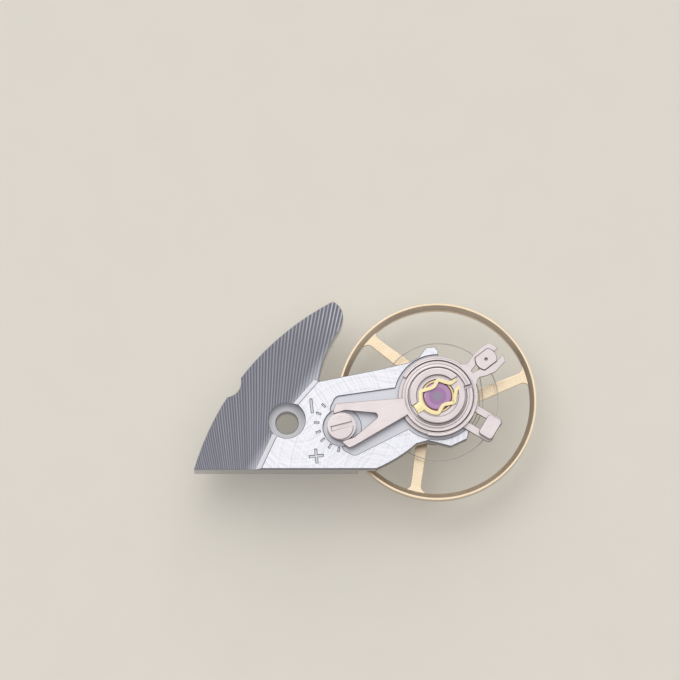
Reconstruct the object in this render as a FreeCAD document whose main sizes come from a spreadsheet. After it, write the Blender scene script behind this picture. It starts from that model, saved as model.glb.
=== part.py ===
import FreeCAD, Part

import math
import os
from types import SimpleNamespace

import Sketcher

# A watch balance complete with its cock: the balance wheel on its staff, the
# hairspring, the shock setting that holds the upper pivot, and the regulator.
# Millimetres. The origin is the axis of the cock's screw hole on the face that
# seats on the movement. +Z runs up along the staff, and +X runs along the
# cock's straight edge towards the balance.

SIZES = {
    # Heights above the seating face
    "foot_top": 1.5,
    "deck_top": 2.0,
    "arm_bottom": 1.15,
    "pocket_depth": 0.1,
    "layer_play": 0.01,
    # Where the balance turns
    "staff_x": 7.54,
    "staff_y": 1.15,
    # Outline of the cock's foot
    "movement_radius": 14.0,
    "foot_back_x": -2.080043,
    "foot_back_y": 2.510485,
    "foot_back_angle": -39.0,
    "straight_edge_y": -2.46,
    "wheel_clearance": 0.35,
    "foot_inner_radius": 6.03,
    "foot_shoulder_angle": 171.5,
    "tip_start_angle": 146.0,
    "tip_side_x": 2.82,
    "tip_side_y": 5.36,
    "tip_side_radius": 1.6,
    "tip_end_radius": 0.85,
    "tip_end_angle": 117.7,
    "notch_radius": 0.77,
    "notch_depth": 0.28,
    "notch_angle": 145.0,
    # Outline of the raised deck and its arm
    "deck_left_x": -1.56,
    "deck_step_low_x": -0.62,
    "deck_step_low_y": -0.43,
    "deck_step_high_x": 0.14,
    "deck_step_high_y": 0.69,
    "deck_step_end_x": 1.39,
    "deck_step_end_y": 2.13,
    "deck_corner_x": 1.6,
    "deck_corner_y": 1.95,
    "arm_top_x": 4.49,
    "arm_top_y": 2.53,
    "arm_low_x": 4.48,
    "arm_low_radius": 7.5,
    "arm_end_radius": 1.95,
    "waist_radius": 2.24,
    "nose_radius": 2.57,
    "nose_corner_radius": 2.35,
    "step_bevel_width": 0.26,
    "step_bevel_drop": 0.46,
    # Screw hole and steady pins of the foot
    "screw_hole_radius": 0.56,
    "screw_head_radius": 0.92,
    "screw_seat_z": 0.95,
    "steady_pin_radius": 0.25,
    "steady_pin_depth": 0.6,
    "steady_pin_reach": 0.55,
    "steady_pin_root": 0.23,
    "steady_pin_chamfer": 0.06,
    "tip_pin_x": 1.25,
    "tip_pin_y": 4.2,
    "corner_pin_x": -3.1,
    "corner_pin_y": -1.5,
    # Recesses and scale of the deck
    "ring_recess_radius": 2.15,
    "cam_recess_radius": 0.95,
    "cam_recess_shift": 0.1,
    "cam_recess_depth": 0.05,
    "fork_pocket_corner": 4.84,
    "fork_pocket_half": 1.57,
    "fork_pocket_reach": 5.3,
    "fork_pocket_end_half": 1.1,
    "fork_pocket_waist": 0.98,
    "scale_x": 2.83,
    "scale_y": -0.17,
    "scale_radius": 1.28,
    "scale_first_angle": 137.7,
    "scale_step_angle": 20.4,
    "tick_length": 0.33,
    "tick_width": 0.1,
    "mark_depth": 0.04,
    "minus_x": 1.24,
    "minus_y": 0.71,
    "plus_x": 1.48,
    "plus_y": -1.82,
    "sign_length": 0.75,
    "sign_width": 0.15,
    "sign_angle": 6.0,
    # Shock block
    "block_bore_radius": 1.2,
    "block_land_radius": 1.4,
    "block_groove_radius": 1.34,
    "block_groove_top": 2.25,
    "block_top": 2.6,
    "block_floor": 1.6,
    "block_staff_hole": 0.25,
    "block_chamfer": 0.04,
    "well_radius": 0.6,
    "well_cone_start": 1.86,
    "well_cone_end": 2.1,
    "well_top_radius": 0.86,
    "spring_seat_z": 2.4,
    "spring_seat_radius": 1.05,
    "hinge_slot_width": 0.54,
    "gate_width": 0.62,
    "lyre_angle": 33.0,
    # Jewels and their setting
    "setting_play": 0.02,
    "setting_bottom": 1.78,
    "setting_top": 2.34,
    "setting_hole": 0.18,
    "hole_jewel_radius": 0.45,
    "hole_jewel_bottom": 1.88,
    "hole_jewel_height": 0.14,
    "jewel_hole_play": 0.005,
    "oil_space_radius": 0.6,
    "cap_jewel_radius": 0.7,
    "cap_jewel_bottom": 2.12,
    "cap_jewel_top": 2.42,
    "cap_jewel_chamfer": 0.06,
    # Lyre spring
    "lyre_thickness": 0.08,
    "lyre_width": 0.2,
    "lyre_loop_radius": 0.92,
    "lyre_loop_angle": 131.0,
    "lyre_end_x": 1.2,
    "lyre_end_y": 0.22,
    "lyre_knee_x": 0.91,
    "lyre_knee_y": 0.18,
    "lyre_shoulder_x": 0.44,
    "lyre_shoulder_y": 0.71,
    "lyre_dip_x": 0.02,
    "lyre_dip_y": 0.52,
    "lyre_tab_width": 0.46,
    "lyre_hinge_reach": 1.27,
    "lyre_bar_radius": 0.045,
    "lyre_bar_grip": 0.12,
    "lyre_bar_play": 0.01,
    # Rings round the shock block
    "ring_play": 0.02,
    "ring_lip_height": 0.06,
    "carrier_top": 2.16,
    "carrier_outer_radius": 1.98,
    "index_height": 0.2,
    "index_inner_radius": 1.47,
    "index_outer_radius": 1.79,
    "index_split": 0.15,
    "stud_ring_play": 0.03,
    "stud_ring_width": 0.2,
    # Fork of the index
    "fork_root_half": 0.43,
    "fork_shoulder_x": 4.65,
    "fork_shoulder_half": 1.12,
    "fork_corner_x": 5.0,
    "fork_corner_half": 1.16,
    "fork_reach": 5.22,
    "fork_tip_half": 0.84,
    "fork_crotch_x": 3.23,
    "fork_crotch_half": 0.13,
    "fork_jaw_x": 4.62,
    # Eccentric screw between the prongs
    "cam_distance": 5.105,
    "index_angle": 197.6,
    "cam_radius": 0.7,
    "cam_throw": 0.08,
    "cam_play": 0.015,
    "cam_floor_play": 0.02,
    "cam_top": 2.33,
    "eccentric_head_radius": 0.65,
    "eccentric_head_top": 2.45,
    "eccentric_stem_radius": 0.3,
    "eccentric_play": 0.01,
    "slot_width": 0.25,
    "slot_depth": 0.1,
    "slot_land": 0.2,
    "slot_angle": 15.0,
    # Curb pin carrier and key
    "key_angle": -31.0,
    "rail_outer_half": 0.68,
    "rail_inner_half": 0.29,
    "rail_reach": 3.46,
    "rail_bottom": 2.02,
    "rail_corner": 0.15,
    "carrier_slit": 0.12,
    "key_length": 0.76,
    "key_breadth": 1.12,
    "key_height": 0.4,
    "key_corner": 0.16,
    "key_boss_radius": 0.33,
    "key_boss_play": 0.01,
    "key_boss_bottom": 1.96,
    "curb_pin_radius": 0.05,
    "curb_pin_play": 0.015,
    "curb_pin_bottom": 0.8,
    "curb_pin_seat": 0.2,
    # Stud carrier and stud
    "stud_angle": 37.5,
    "stud_ring_start": -142.5,
    "stud_ring_end": 112.5,
    "stud_head_radius": 0.55,
    "stud_flat_half": 0.4,
    "claw_play": 0.01,
    "claw_lip_left": 0.1,
    "claw_lip_right": 0.36,
    "claw_slit_left": 0.1,
    "claw_slit_right": 0.2,
    "stud_head_rise": 0.08,
    "stud_stem_radius": 0.26,
    "stud_bottom": 0.78,
    "stud_slit_play": 0.01,
    "stud_slit_top": 1.0,
    "stud_eye_radius": 0.07,
    "stud_eye_depth": 0.12,
    # Hairspring and collet
    "spring_bottom": 0.85,
    "spring_height": 0.12,
    "spring_thickness": 0.04,
    "spring_turn_radius": 3.06,
    "spring_swell_radius": 2.965,
    "spring_swell_angle": -50.0,
    "spring_body_radius": 2.3,
    "spring_half_turns": 21,
    "spring_bend_radius": 1.1,
    "spring_tail_angle": 8.0,
    "spring_foot_angle": 40.0,
    "stud_grip_angle": 8.0,
    "collet_radius": 0.55,
    "collet_bottom": 0.78,
    "collet_top": 1.04,
    "collet_slit": 0.08,
    # Balance wheel
    "wheel_radius": 5.0,
    "rim_width": 0.4,
    "rim_flat": 0.12,
    "rim_bottom": -0.1,
    "rim_top": 0.6,
    "arm_underside": 0.2,
    "arm_thickness": 0.18,
    "arm_count": 3,
    "arm_angle": 22.5,
    "arm_offset": 0.5,
    "arm_inner_half": 0.34,
    "arm_outer_half": 0.25,
    "arm_flare": 0.32,
    "hub_radius": 1.05,
    # Balance staff
    "pivot_radius": 0.05,
    "lower_pivot_tip": -1.45,
    "lower_pivot_length": 0.22,
    "pivot_cone": 0.12,
    "staff_lower_radius": 0.21,
    "roller_seat_radius": 0.22,
    "roller_seat_bottom": -0.8,
    "flange_radius": 0.6,
    "flange_bottom": -0.02,
    "wheel_seat_radius": 0.36,
    "wheel_seat_rise": 0.05,
    "collet_seat_radius": 0.27,
    "staff_upper_radius": 0.14,
    "staff_neck_z": 1.06,
    "upper_cone_z": 1.74,
    "upper_pivot_z": 1.86,
    "pivot_endshake": 0.02,
    # Double roller and impulse jewel
    "table_radius": 1.15,
    "table_height": 0.18,
    "roller_hub_radius": 0.4,
    "safety_radius": 0.56,
    "safety_height": 0.15,
    "safety_notch_radius": 0.2,
    "roller_bottom": -0.75,
    "impulse_distance": 0.86,
    "impulse_angle": 200.0,
    "impulse_radius": 0.17,
    "impulse_flat": 0.06,
    "impulse_bottom": -0.66,
}

# Outlines as chains of corners. The claw's lie in the stud carrier's own axes,
# from the ring out along one jaw, and from the tip of the other jaw back.
TRACES = {
    "claw_left": [
        (1.75, 0.66), (1.98, 0.52), (2.16, 0.4), (2.5, 0.5), (2.8, 0.6),
        (3.3, 0.63), (3.68, 0.58), (3.9, 0.12), (3.66, 0.06),
    ],
    "claw_slit": [(2.12, 0.0), (2.12, -0.15)],
    "claw_right": [
        (3.62, -0.38), (3.9, -0.31), (3.77, -0.66), (3.05, -0.78), (2.55, -0.66),
        (2.26, -0.52), (2.08, -0.57), (1.75, -0.8),
    ],
}
for trace, corners in TRACES.items():
    for number, corner in enumerate(corners):
        SIZES[f"{trace}{number}_x"], SIZES[f"{trace}{number}_y"] = corner

TAU_DEGREES = 360


class Size:
    """A length or an angle in degrees, with the sheet expression that gives it."""

    def __init__(self, number, text):
        self.number = float(number)
        self.text = text

    def __add__(self, other):
        other = as_size(other)
        return Size(self.number + other.number, f"({self.text} + {other.text})")

    def __sub__(self, other):
        other = as_size(other)
        return Size(self.number - other.number, f"({self.text} - {other.text})")

    def __mul__(self, other):
        other = as_size(other)
        return Size(self.number * other.number, f"({self.text} * {other.text})")

    def __truediv__(self, other):
        other = as_size(other)
        return Size(self.number / other.number, f"({self.text} / {other.text})")

    def __rsub__(self, other):
        return as_size(other) - self

    def __neg__(self):
        return Size(-self.number, f"(-1 * {self.text})")


def as_size(value):
    """A plain number counts as a size without a cell."""
    return value if isinstance(value, Size) else Size(value, f"({value})")


def root(size):
    return Size(math.sqrt(size.number), f"sqrt({size.text})")


def polar(centre, radius, angle):
    """The point at this radius and angle in degrees from a centre."""
    radius, angle = as_size(radius), as_size(angle)
    turn = math.radians(angle.number)
    across = Size(radius.number * math.cos(turn), f"({radius.text} * cos({angle.text}))")
    along = Size(radius.number * math.sin(turn), f"({radius.text} * sin({angle.text}))")
    return across + centre[0], along + centre[1]


def chord(centre, radius, y, side):
    """The point of a circle at height y, on its left (side -1) or right (side 1)."""
    rise = y - centre[1]
    return centre[0] + root(radius * radius - rise * rise) * side, y


def traced(name):
    """The corners of a traced outline, as sizes."""
    return [
        (getattr(s, f"{name}{n}_x"), getattr(s, f"{name}{n}_y"))
        for n in range(len(TRACES[name]))
    ]


doc = FreeCAD.newDocument("BalanceComplete")
sheet = doc.addObject("Spreadsheet::Sheet", "Sizes")
for row, (alias, value) in enumerate(SIZES.items(), start=1):
    sheet.set(f"A{row}", alias)
    sheet.set(f"B{row}", str(value))
    sheet.setAlias(f"B{row}", alias)
doc.recompute()
s = SimpleNamespace(**{a: Size(sheet.get(a), f"Sizes.{a}") for a in SIZES})

ORIGIN = (as_size(0), as_size(0))
STAFF = (s.staff_x, s.staff_y)
MOVEMENT = polar((s.foot_back_x, s.foot_back_y), s.movement_radius, s.foot_back_angle)
Z_AXIS = FreeCAD.Vector(0, 0, 1)


# Sketches

class Line:
    """A straight stretch of an outline, to a point."""

    def __init__(self, x, y):
        self.end = (as_size(x), as_size(y))


class Arc:
    """A round stretch of an outline, to a point: counterclockwise if turn is 1."""

    def __init__(self, end, radius, turn, large=False):
        self.end = (as_size(end[0]), as_size(end[1]))
        self.radius = as_size(radius)
        self.turn = turn
        self.large = large


def arc_centre(start, end, radius, turn, large):
    """The centre of the arc between two points, as plain numbers."""
    (ax, ay), (bx, by) = start, end
    half = math.hypot(bx - ax, by - ay) / 2
    off = math.sqrt(max(radius * radius - half * half, 0)) * turn
    if large:
        off = -off
    return (
        (ax + bx) / 2 - (by - ay) / (2 * half) * off,
        (ay + by) / 2 + (bx - ax) / (2 * half) * off,
    )


def numbers(point):
    return point[0].number, point[1].number


def bind(sketch, constraint, size):
    """Add a constraint and tie its value to the sheet."""
    index = sketch.addConstraint(constraint)
    sketch.setExpression(f"Constraints[{index}]", size.text)


def pin_point(sketch, geometry, vertex, point):
    """Fix a vertex by its two distances from the sketch's origin."""
    for kind, axis, size in (("DistanceX", -2, point[0]), ("DistanceY", -1, point[1])):
        if size.number == 0:
            rule = Sketcher.Constraint("PointOnObject", geometry, vertex, axis)
            sketch.addConstraint(rule)
        else:
            rule = Sketcher.Constraint(kind, -1, 1, geometry, vertex, size.number)
            bind(sketch, rule, size)


def new_sketch(body, name, role="XY_Plane", height=0):
    """A sketch on one of the body's own planes, raised along the plane's normal."""
    sketch = body.newObject("Sketcher::SketchObject", name)
    plane = next(f for f in body.Origin.OriginFeatures if f.Role == role)
    sketch.AttachmentSupport = (plane, [""])
    sketch.MapMode = "FlatFace"
    height = as_size(height)
    sketch.AttachmentOffset = FreeCAD.Placement(
        FreeCAD.Vector(0, 0, height.number), FreeCAD.Rotation()
    )
    sketch.setExpression("AttachmentOffset.Base.z", height.text)
    return sketch


def add_outline(sketch, start, steps, closed=True):
    """Draw a chain of lines and arcs, each vertex and radius tied to the sheet."""
    start = (as_size(start[0]), as_size(start[1]))
    before, first, last = start, None, None
    for step in steps:
        a, b = numbers(before), numbers(step.end)
        if isinstance(step, Line):
            shape = Part.LineSegment(FreeCAD.Vector(*a, 0), FreeCAD.Vector(*b, 0))
            index, ends = sketch.addGeometry(shape, False), (1, 2)
        else:
            radius = step.radius.number
            cx, cy = arc_centre(a, b, radius, step.turn, step.large)
            angles = [math.atan2(p[1] - cy, p[0] - cx) for p in (a, b)][:: step.turn]
            circle = Part.Circle(FreeCAD.Vector(cx, cy, 0), Z_AXIS, radius)
            index = sketch.addGeometry(Part.ArcOfCircle(circle, *angles), False)
            ends = (1, 2)[:: step.turn]
            bind(sketch, Sketcher.Constraint("Radius", index, radius), step.radius)
        pin_point(sketch, index, ends[0], before)
        if last:
            joint = Sketcher.Constraint("Coincident", *last, index, ends[0])
            sketch.addConstraint(joint)
        first = first or (index, ends[0])
        last, before = (index, ends[1]), step.end
    if closed:
        sketch.addConstraint(Sketcher.Constraint("Coincident", *last, *first))
    else:
        pin_point(sketch, *last, before)
    return sketch


def add_circle(sketch, centre, radius):
    centre = (as_size(centre[0]), as_size(centre[1]))
    radius = as_size(radius)
    middle = FreeCAD.Vector(*numbers(centre), 0)
    index = sketch.addGeometry(Part.Circle(middle, Z_AXIS, radius.number), False)
    bind(sketch, Sketcher.Constraint("Radius", index, radius.number), radius)
    pin_point(sketch, index, 3, centre)
    return sketch


def add_box(sketch, low, high):
    """A rectangle between two opposite corners."""
    steps = [
        Line(high[0], low[1]),
        Line(high[0], high[1]),
        Line(low[0], high[1]),
        Line(low[0], low[1]),
    ]
    return add_outline(sketch, low, steps)


# Bodies and their features

def new_body(label, origin=ORIGIN, turn=0):
    """A body whose own axes are set on a point of the part and turned about Z."""
    body = doc.addObject("PartDesign::Body", "Body_" + label)
    body.Label = label
    turn = as_size(turn)
    place = FreeCAD.Vector(*numbers(origin), 0)
    body.Placement = FreeCAD.Placement(place, FreeCAD.Rotation(Z_AXIS, turn.number))
    body.setExpression("Placement.Base.x", origin[0].text)
    body.setExpression("Placement.Base.y", origin[1].text)
    body.setExpression("Placement.Rotation.Angle", turn.text)
    return body


def pad(body, sketch, height):
    """Raise a sketch by a height along its plane's normal."""
    feature = body.newObject("PartDesign::Pad", sketch.Name + "_pad")
    feature.Profile = sketch
    feature.Length = as_size(height).number
    feature.setExpression("Length", as_size(height).text)
    doc.recompute()
    return feature


def pocket(body, sketch, depth):
    """Cut downwards from a sketch by a depth, and make sure that it cuts."""
    before = body.Shape.Volume
    feature = body.newObject("PartDesign::Pocket", sketch.Name + "_cut")
    feature.Profile = sketch
    feature.Length = as_size(depth).number
    feature.setExpression("Length", as_size(depth).text)
    doc.recompute()
    if body.Shape.Volume >= before:
        raise ValueError(f"{feature.Name} cuts nothing")
    return feature


def ream(body, name, settings):
    """Cut a tapered hole upwards from the body's underside."""
    before = body.Shape.Volume
    cone = body.newObject("PartDesign::SubtractiveCone", name)
    for setting, size in settings.items():
        cone.setExpression(setting, size.text)
    doc.recompute()
    if body.Shape.Volume >= before:
        raise ValueError(f"{name} cuts nothing")


def revolve(body, sketch):
    """Turn a profile in the XZ plane once round the body's Z axis."""
    feature = body.newObject("PartDesign::Revolution", sketch.Name + "_turn")
    feature.Profile = sketch
    feature.ReferenceAxis = (sketch, ["V_Axis"])
    feature.Angle = TAU_DEGREES
    doc.recompute()
    return feature


def turned(label, profile, origin=STAFF, turn=0):
    """A body turned on a lathe from a closed profile of (radius, height) points."""
    body = new_body(label, origin, turn)
    sketch = new_sketch(body, label + "_profile", "XZ_Plane")
    add_outline(sketch, profile[0], [Line(*p) for p in profile[1:] + profile[:1]])
    revolve(body, sketch)
    return body


def copies(body, feature, sketch, count, span=TAU_DEGREES):
    """Repeat a feature evenly about the sketch's origin, along its normal."""
    pattern = body.newObject("PartDesign::PolarPattern", feature.Name + "_copies")
    pattern.Originals = [feature]
    pattern.Axis = (sketch, ["N_Axis"])
    pattern.Angle = as_size(span).number
    pattern.Occurrences = int(as_size(count).number)
    pattern.setExpression("Occurrences", as_size(count).text)
    body.Tip = pattern
    doc.recompute()
    return pattern


# Heights and radii that several pieces share

POCKET_FLOOR = s.deck_top - s.pocket_depth
INDEX_BOTTOM = s.carrier_top + s.layer_play
INDEX_TOP = INDEX_BOTTOM + s.index_height
RING_BORE = s.block_groove_radius + s.ring_play
ECCENTRIC = polar(STAFF, s.cam_distance, s.index_angle)
STUD = polar(STAFF, s.spring_turn_radius, s.stud_angle)
KEY = polar(STAFF, s.spring_turn_radius, s.key_angle)
WHEEL_SWEEP = s.wheel_radius + s.wheel_clearance
LYRE_TOP = s.cap_jewel_top + s.lyre_thickness
LYRE_BAR_Z = s.cap_jewel_top + s.lyre_thickness / 2
STRIP_HALF = s.spring_thickness / 2


# Balance cock

def foot_outline(sketch):
    """The foot: straight edge, round the wheel, the tip, and back along the movement."""
    left = chord(MOVEMENT, s.movement_radius, s.straight_edge_y, -1)
    right = chord(STAFF, WHEEL_SWEEP, s.straight_edge_y, -1)
    tip_side = (s.tip_side_x, s.tip_side_y)
    tip_start = polar(STAFF, s.foot_inner_radius, s.tip_start_angle)
    tip_end = polar(MOVEMENT, s.movement_radius, s.tip_end_angle)
    steps = [
        Line(*right),
        Arc(polar(STAFF, WHEEL_SWEEP, s.foot_shoulder_angle), WHEEL_SWEEP, -1),
        Line(*polar(STAFF, s.foot_inner_radius, s.foot_shoulder_angle)),
        Arc(tip_start, s.foot_inner_radius, -1),
        Arc(tip_side, s.tip_side_radius, 1),
        Arc(tip_end, s.tip_end_radius, 1),
        Arc(left, s.movement_radius, 1),
    ]
    return add_outline(sketch, left, steps)


def deck_outline(sketch):
    """The deck: from the step beside the screw out along the arm to its two noses."""
    start = (s.deck_left_x, s.straight_edge_y)
    steps = [
        Line(s.arm_low_x, s.straight_edge_y),
        Arc(polar(STAFF, s.nose_radius, -114), s.arm_low_radius, 1),
        Line(*polar(STAFF, s.waist_radius, -102)),
        Line(*polar(STAFF, s.nose_radius, -75)),
        Line(*polar(STAFF, s.nose_radius, -55)),
        Line(*polar(STAFF, s.nose_corner_radius, -48)),
        Line(*polar(STAFF, s.arm_end_radius, -48)),
        Arc(polar(STAFF, s.arm_end_radius, 89), s.arm_end_radius, 1),
        Line(*polar(STAFF, s.nose_corner_radius, 89)),
        Line(*polar(STAFF, s.nose_radius, 93)),
        Line(*polar(STAFF, s.nose_radius, 103)),
        Line(*polar(STAFF, s.waist_radius, 114)),
        Line(*polar(STAFF, s.waist_radius, 128)),
        Line(s.arm_top_x, s.arm_top_y),
        Line(s.deck_corner_x, s.deck_corner_y),
        Line(s.deck_step_end_x, s.deck_step_end_y),
        Line(s.deck_step_high_x, s.deck_step_high_y),
        Line(s.deck_step_low_x, s.deck_step_low_y),
        Line(*start),
    ]
    return add_outline(sketch, start, steps)


def bevel_step(body, start, end):
    """Slope the deck's wall beside the foot, below one straight top edge."""
    middle = numbers(((start[0] + end[0]) / 2, (start[1] + end[1]) / 2))
    place = FreeCAD.Vector(*middle, s.deck_top.number)
    distances = [edge.CenterOfMass.distanceToPoint(place) for edge in body.Shape.Edges]
    edge = f"Edge{distances.index(min(distances)) + 1}"
    base = body.Tip
    bevel = body.newObject("PartDesign::Chamfer", "step_bevel")
    bevel.Base = (base, [edge])
    bevel.ChamferType = "Two distances"
    bevel.setExpression("Size", s.step_bevel_width.text)
    bevel.setExpression("Size2", s.step_bevel_drop.text)
    doc.recompute()


def fork_pocket_outline(sketch, axis):
    """The sunk field round the fork, symmetrical about the fork's own axis."""

    def across(along, aside):
        x, y = polar(STAFF, along, axis)
        return polar((x, y), aside, axis + 90)

    side = [
        (s.block_bore_radius, s.fork_pocket_waist),
        (s.fork_pocket_corner, s.fork_pocket_half),
        (s.fork_pocket_reach, s.fork_pocket_end_half),
    ]
    points = [across(x, y) for x, y in side] + [across(x, -y) for x, y in side[::-1]]
    start, steps = points[0], [Line(*p) for p in points[1:] + points[:1]]
    return add_outline(sketch, start, steps)


def add_mark(sketch, middle, along, wide, angle):
    """A small rectangle about a point, with its long side at an angle."""
    corners = []
    for a, w in ((1, 1), (-1, 1), (-1, -1), (1, -1)):
        x, y = polar(middle, along * (a / 2), angle)
        corners.append(polar((x, y), wide * (w / 2), angle + 90))
    return add_outline(sketch, corners[0], [Line(*c) for c in corners[1:] + corners[:1]])


def scale_marks(body):
    """Seven ticks in a fan beside the eccentric, a minus sign and a plus sign."""
    ticks = new_sketch(body, "scale_ticks", height=s.deck_top)
    for tick in range(7):
        angle = s.scale_first_angle + s.scale_step_angle * tick
        middle = polar((s.scale_x, s.scale_y), s.scale_radius, angle)
        add_mark(ticks, middle, s.tick_length, s.tick_width, angle)
    pocket(body, ticks, s.mark_depth)
    signs = new_sketch(body, "scale_signs", height=s.deck_top)
    minus = (s.minus_x, s.minus_y)
    add_mark(signs, minus, s.sign_length, s.sign_width, s.sign_angle + 90)
    half, thin = s.sign_length / 2, s.sign_width / 2
    corners = [(half, thin), (thin, thin), (thin, half)]
    points = []
    for quarter in range(4):
        turn = s.sign_angle + 90 * quarter
        for across, along in corners:
            x, y = polar((s.plus_x, s.plus_y), across, turn)
            points.append(polar((x, y), along, turn + 90))
    add_outline(signs, points[0], [Line(*p) for p in points[1:] + points[:1]])
    pocket(body, signs, s.mark_depth)


def make_cock():
    body = new_body("balance_cock")
    pad(body, foot_outline(new_sketch(body, "foot")), s.foot_top)
    deck = deck_outline(new_sketch(body, "deck", height=s.arm_bottom))
    pad(body, deck, s.deck_top - s.arm_bottom)
    high = (s.deck_step_high_x, s.deck_step_high_y)
    low = (s.deck_step_low_x, s.deck_step_low_y)
    bevel_step(body, (s.deck_step_end_x, s.deck_step_end_y), high)
    bevel_step(body, low, (s.deck_left_x, s.straight_edge_y))

    notch_reach = s.movement_radius - s.notch_depth + s.notch_radius
    notch = new_sketch(body, "foot_notch", height=s.foot_top)
    add_circle(notch, polar(MOVEMENT, notch_reach, s.notch_angle), s.notch_radius)
    pocket(body, notch, s.foot_top)

    head = new_sketch(body, "screw_head_seat", height=s.deck_top)
    add_circle(head, ORIGIN, s.screw_head_radius)
    pocket(body, head, s.deck_top - s.screw_seat_z)
    hole = new_sketch(body, "screw_hole", height=s.screw_seat_z)
    add_circle(hole, ORIGIN, s.screw_hole_radius)
    pocket(body, hole, s.screw_seat_z)

    for name, x, y in (
        ("tip_pin_hole", s.tip_pin_x, s.tip_pin_y),
        ("corner_pin_hole", s.corner_pin_x, s.corner_pin_y),
    ):
        settings = {
            "Radius1": s.steady_pin_radius,
            "Radius2": s.steady_pin_root,
            "Height": s.steady_pin_depth,
            "Placement.Base.x": x,
            "Placement.Base.y": y,
        }
        ream(body, name, settings)

    recess = new_sketch(body, "ring_recess", height=s.deck_top)
    add_circle(recess, STAFF, s.ring_recess_radius)
    pocket(body, recess, s.pocket_depth)
    fork = new_sketch(body, "fork_pocket", height=s.deck_top)
    pocket(body, fork_pocket_outline(fork, s.index_angle), s.pocket_depth)
    cam_middle = polar(STAFF, s.cam_distance - s.cam_recess_shift, s.index_angle)
    cam = new_sketch(body, "cam_recess", height=s.deck_top)
    add_circle(cam, cam_middle, s.cam_recess_radius)
    pocket(body, cam, s.pocket_depth + s.cam_recess_depth)
    stem = new_sketch(body, "eccentric_bore", height=s.deck_top)
    add_circle(stem, ECCENTRIC, s.eccentric_stem_radius + s.eccentric_play)
    pocket(body, stem, s.deck_top - s.arm_bottom)
    bore = new_sketch(body, "block_bore", height=s.deck_top)
    add_circle(bore, STAFF, s.block_bore_radius)
    pocket(body, bore, s.deck_top - s.arm_bottom)
    scale_marks(body)
    return body


def make_steady_pin(label, x, y):
    """A straight pin with a tapered root, driven into the underside of the foot."""
    radius, chamfer, tip = s.steady_pin_radius, s.steady_pin_chamfer, -s.steady_pin_reach
    profile = [
        (0, tip),
        (radius - chamfer, tip),
        (radius, tip + chamfer),
        (radius, 0),
        (s.steady_pin_root, s.steady_pin_depth),
        (0, s.steady_pin_depth),
    ]
    return turned(label, profile, (x, y))


# Shock setting

def make_shock_block():
    """The block pressed into the cock: a well for the jewels under a spring seat."""
    land = s.block_land_radius
    profile = [
        (s.block_staff_hole, s.arm_bottom),
        (s.block_bore_radius, s.arm_bottom),
        (s.block_bore_radius, POCKET_FLOOR),
        (s.block_groove_radius, POCKET_FLOOR),
        (s.block_groove_radius, s.block_groove_top),
        (land, s.block_groove_top),
        (land, s.block_top - s.block_chamfer),
        (land - s.block_chamfer, s.block_top),
        (s.spring_seat_radius, s.block_top),
        (s.spring_seat_radius, s.spring_seat_z),
        (s.well_top_radius, s.spring_seat_z),
        (s.well_top_radius, s.well_cone_end),
        (s.well_radius, s.well_cone_start),
        (s.well_radius, s.block_floor),
        (s.block_staff_hole, s.block_floor),
    ]
    body = turned("shock_block", profile, turn=s.lyre_angle)
    slot = new_sketch(body, "hinge_slot", height=s.block_top)
    slot_half = s.hinge_slot_width / 2
    add_box(slot, (-(land + 0.1), -slot_half), (-s.well_top_radius, slot_half))
    pocket(body, slot, s.block_top - s.spring_seat_z)
    gate = new_sketch(body, "gate", height=s.block_top)
    gate_half = s.gate_width / 2
    add_box(gate, (s.well_top_radius, -gate_half), (land + 0.1, gate_half))
    pocket(body, gate, s.block_top - s.spring_seat_z)
    bar_half = s.hinge_slot_width / 2 + s.lyre_bar_grip + s.lyre_bar_play
    bar_hole = new_sketch(body, "bar_hole", "XZ_Plane", height=bar_half)
    bar_radius = s.lyre_bar_radius + s.lyre_bar_play
    add_circle(bar_hole, (-s.lyre_hinge_reach, LYRE_BAR_Z), bar_radius)
    pocket(body, bar_hole, bar_half * 2)
    return body


def make_jewel_setting():
    """The ring that carries both jewels on its cone in the block's well."""
    play = s.setting_play
    cap_bore = s.cap_jewel_radius + play / 2
    jewel_top = s.hole_jewel_bottom + s.hole_jewel_height
    profile = [
        (s.setting_hole, s.setting_bottom),
        (s.well_radius - play, s.setting_bottom),
        (s.well_radius - play, s.well_cone_start),
        (s.well_top_radius - play, s.well_cone_end),
        (s.well_top_radius - play, s.setting_top),
        (cap_bore, s.setting_top),
        (cap_bore, s.cap_jewel_bottom),
        (s.oil_space_radius, s.cap_jewel_bottom),
        (s.hole_jewel_radius, jewel_top),
        (s.hole_jewel_radius, s.hole_jewel_bottom),
        (s.setting_hole, s.hole_jewel_bottom),
    ]
    return turned("jewel_setting", profile)


def make_hole_jewel():
    """The pierced jewel round the pivot, with a dished top that keeps the oil."""
    bore = s.pivot_radius + s.jewel_hole_play
    bottom = s.hole_jewel_bottom
    top = bottom + s.hole_jewel_height
    profile = [
        (bore, bottom),
        (s.hole_jewel_radius, bottom),
        (s.hole_jewel_radius, top),
        (s.hole_jewel_radius * 0.7, top),
        (bore * 1.6, top - s.hole_jewel_height * 0.3),
        (bore, top - s.hole_jewel_height * 0.45),
    ]
    return turned("hole_jewel", profile)


def make_cap_jewel():
    """The end stone that the pivot's tip runs against."""
    radius, edge = s.cap_jewel_radius, s.cap_jewel_chamfer
    profile = [
        (0, s.cap_jewel_bottom),
        (radius, s.cap_jewel_bottom),
        (radius, s.cap_jewel_top - edge),
        (radius - edge, s.cap_jewel_top),
        (0, s.cap_jewel_top),
    ]
    return turned("cap_jewel", profile)


def loose(kind, name, **settings):
    """A Part object outside any body, with its sizes tied to the sheet."""
    item = doc.addObject(kind, name)
    for key, size in settings.items():
        item.setExpression(key.replace("_", "."), as_size(size).text)
    return item


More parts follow.
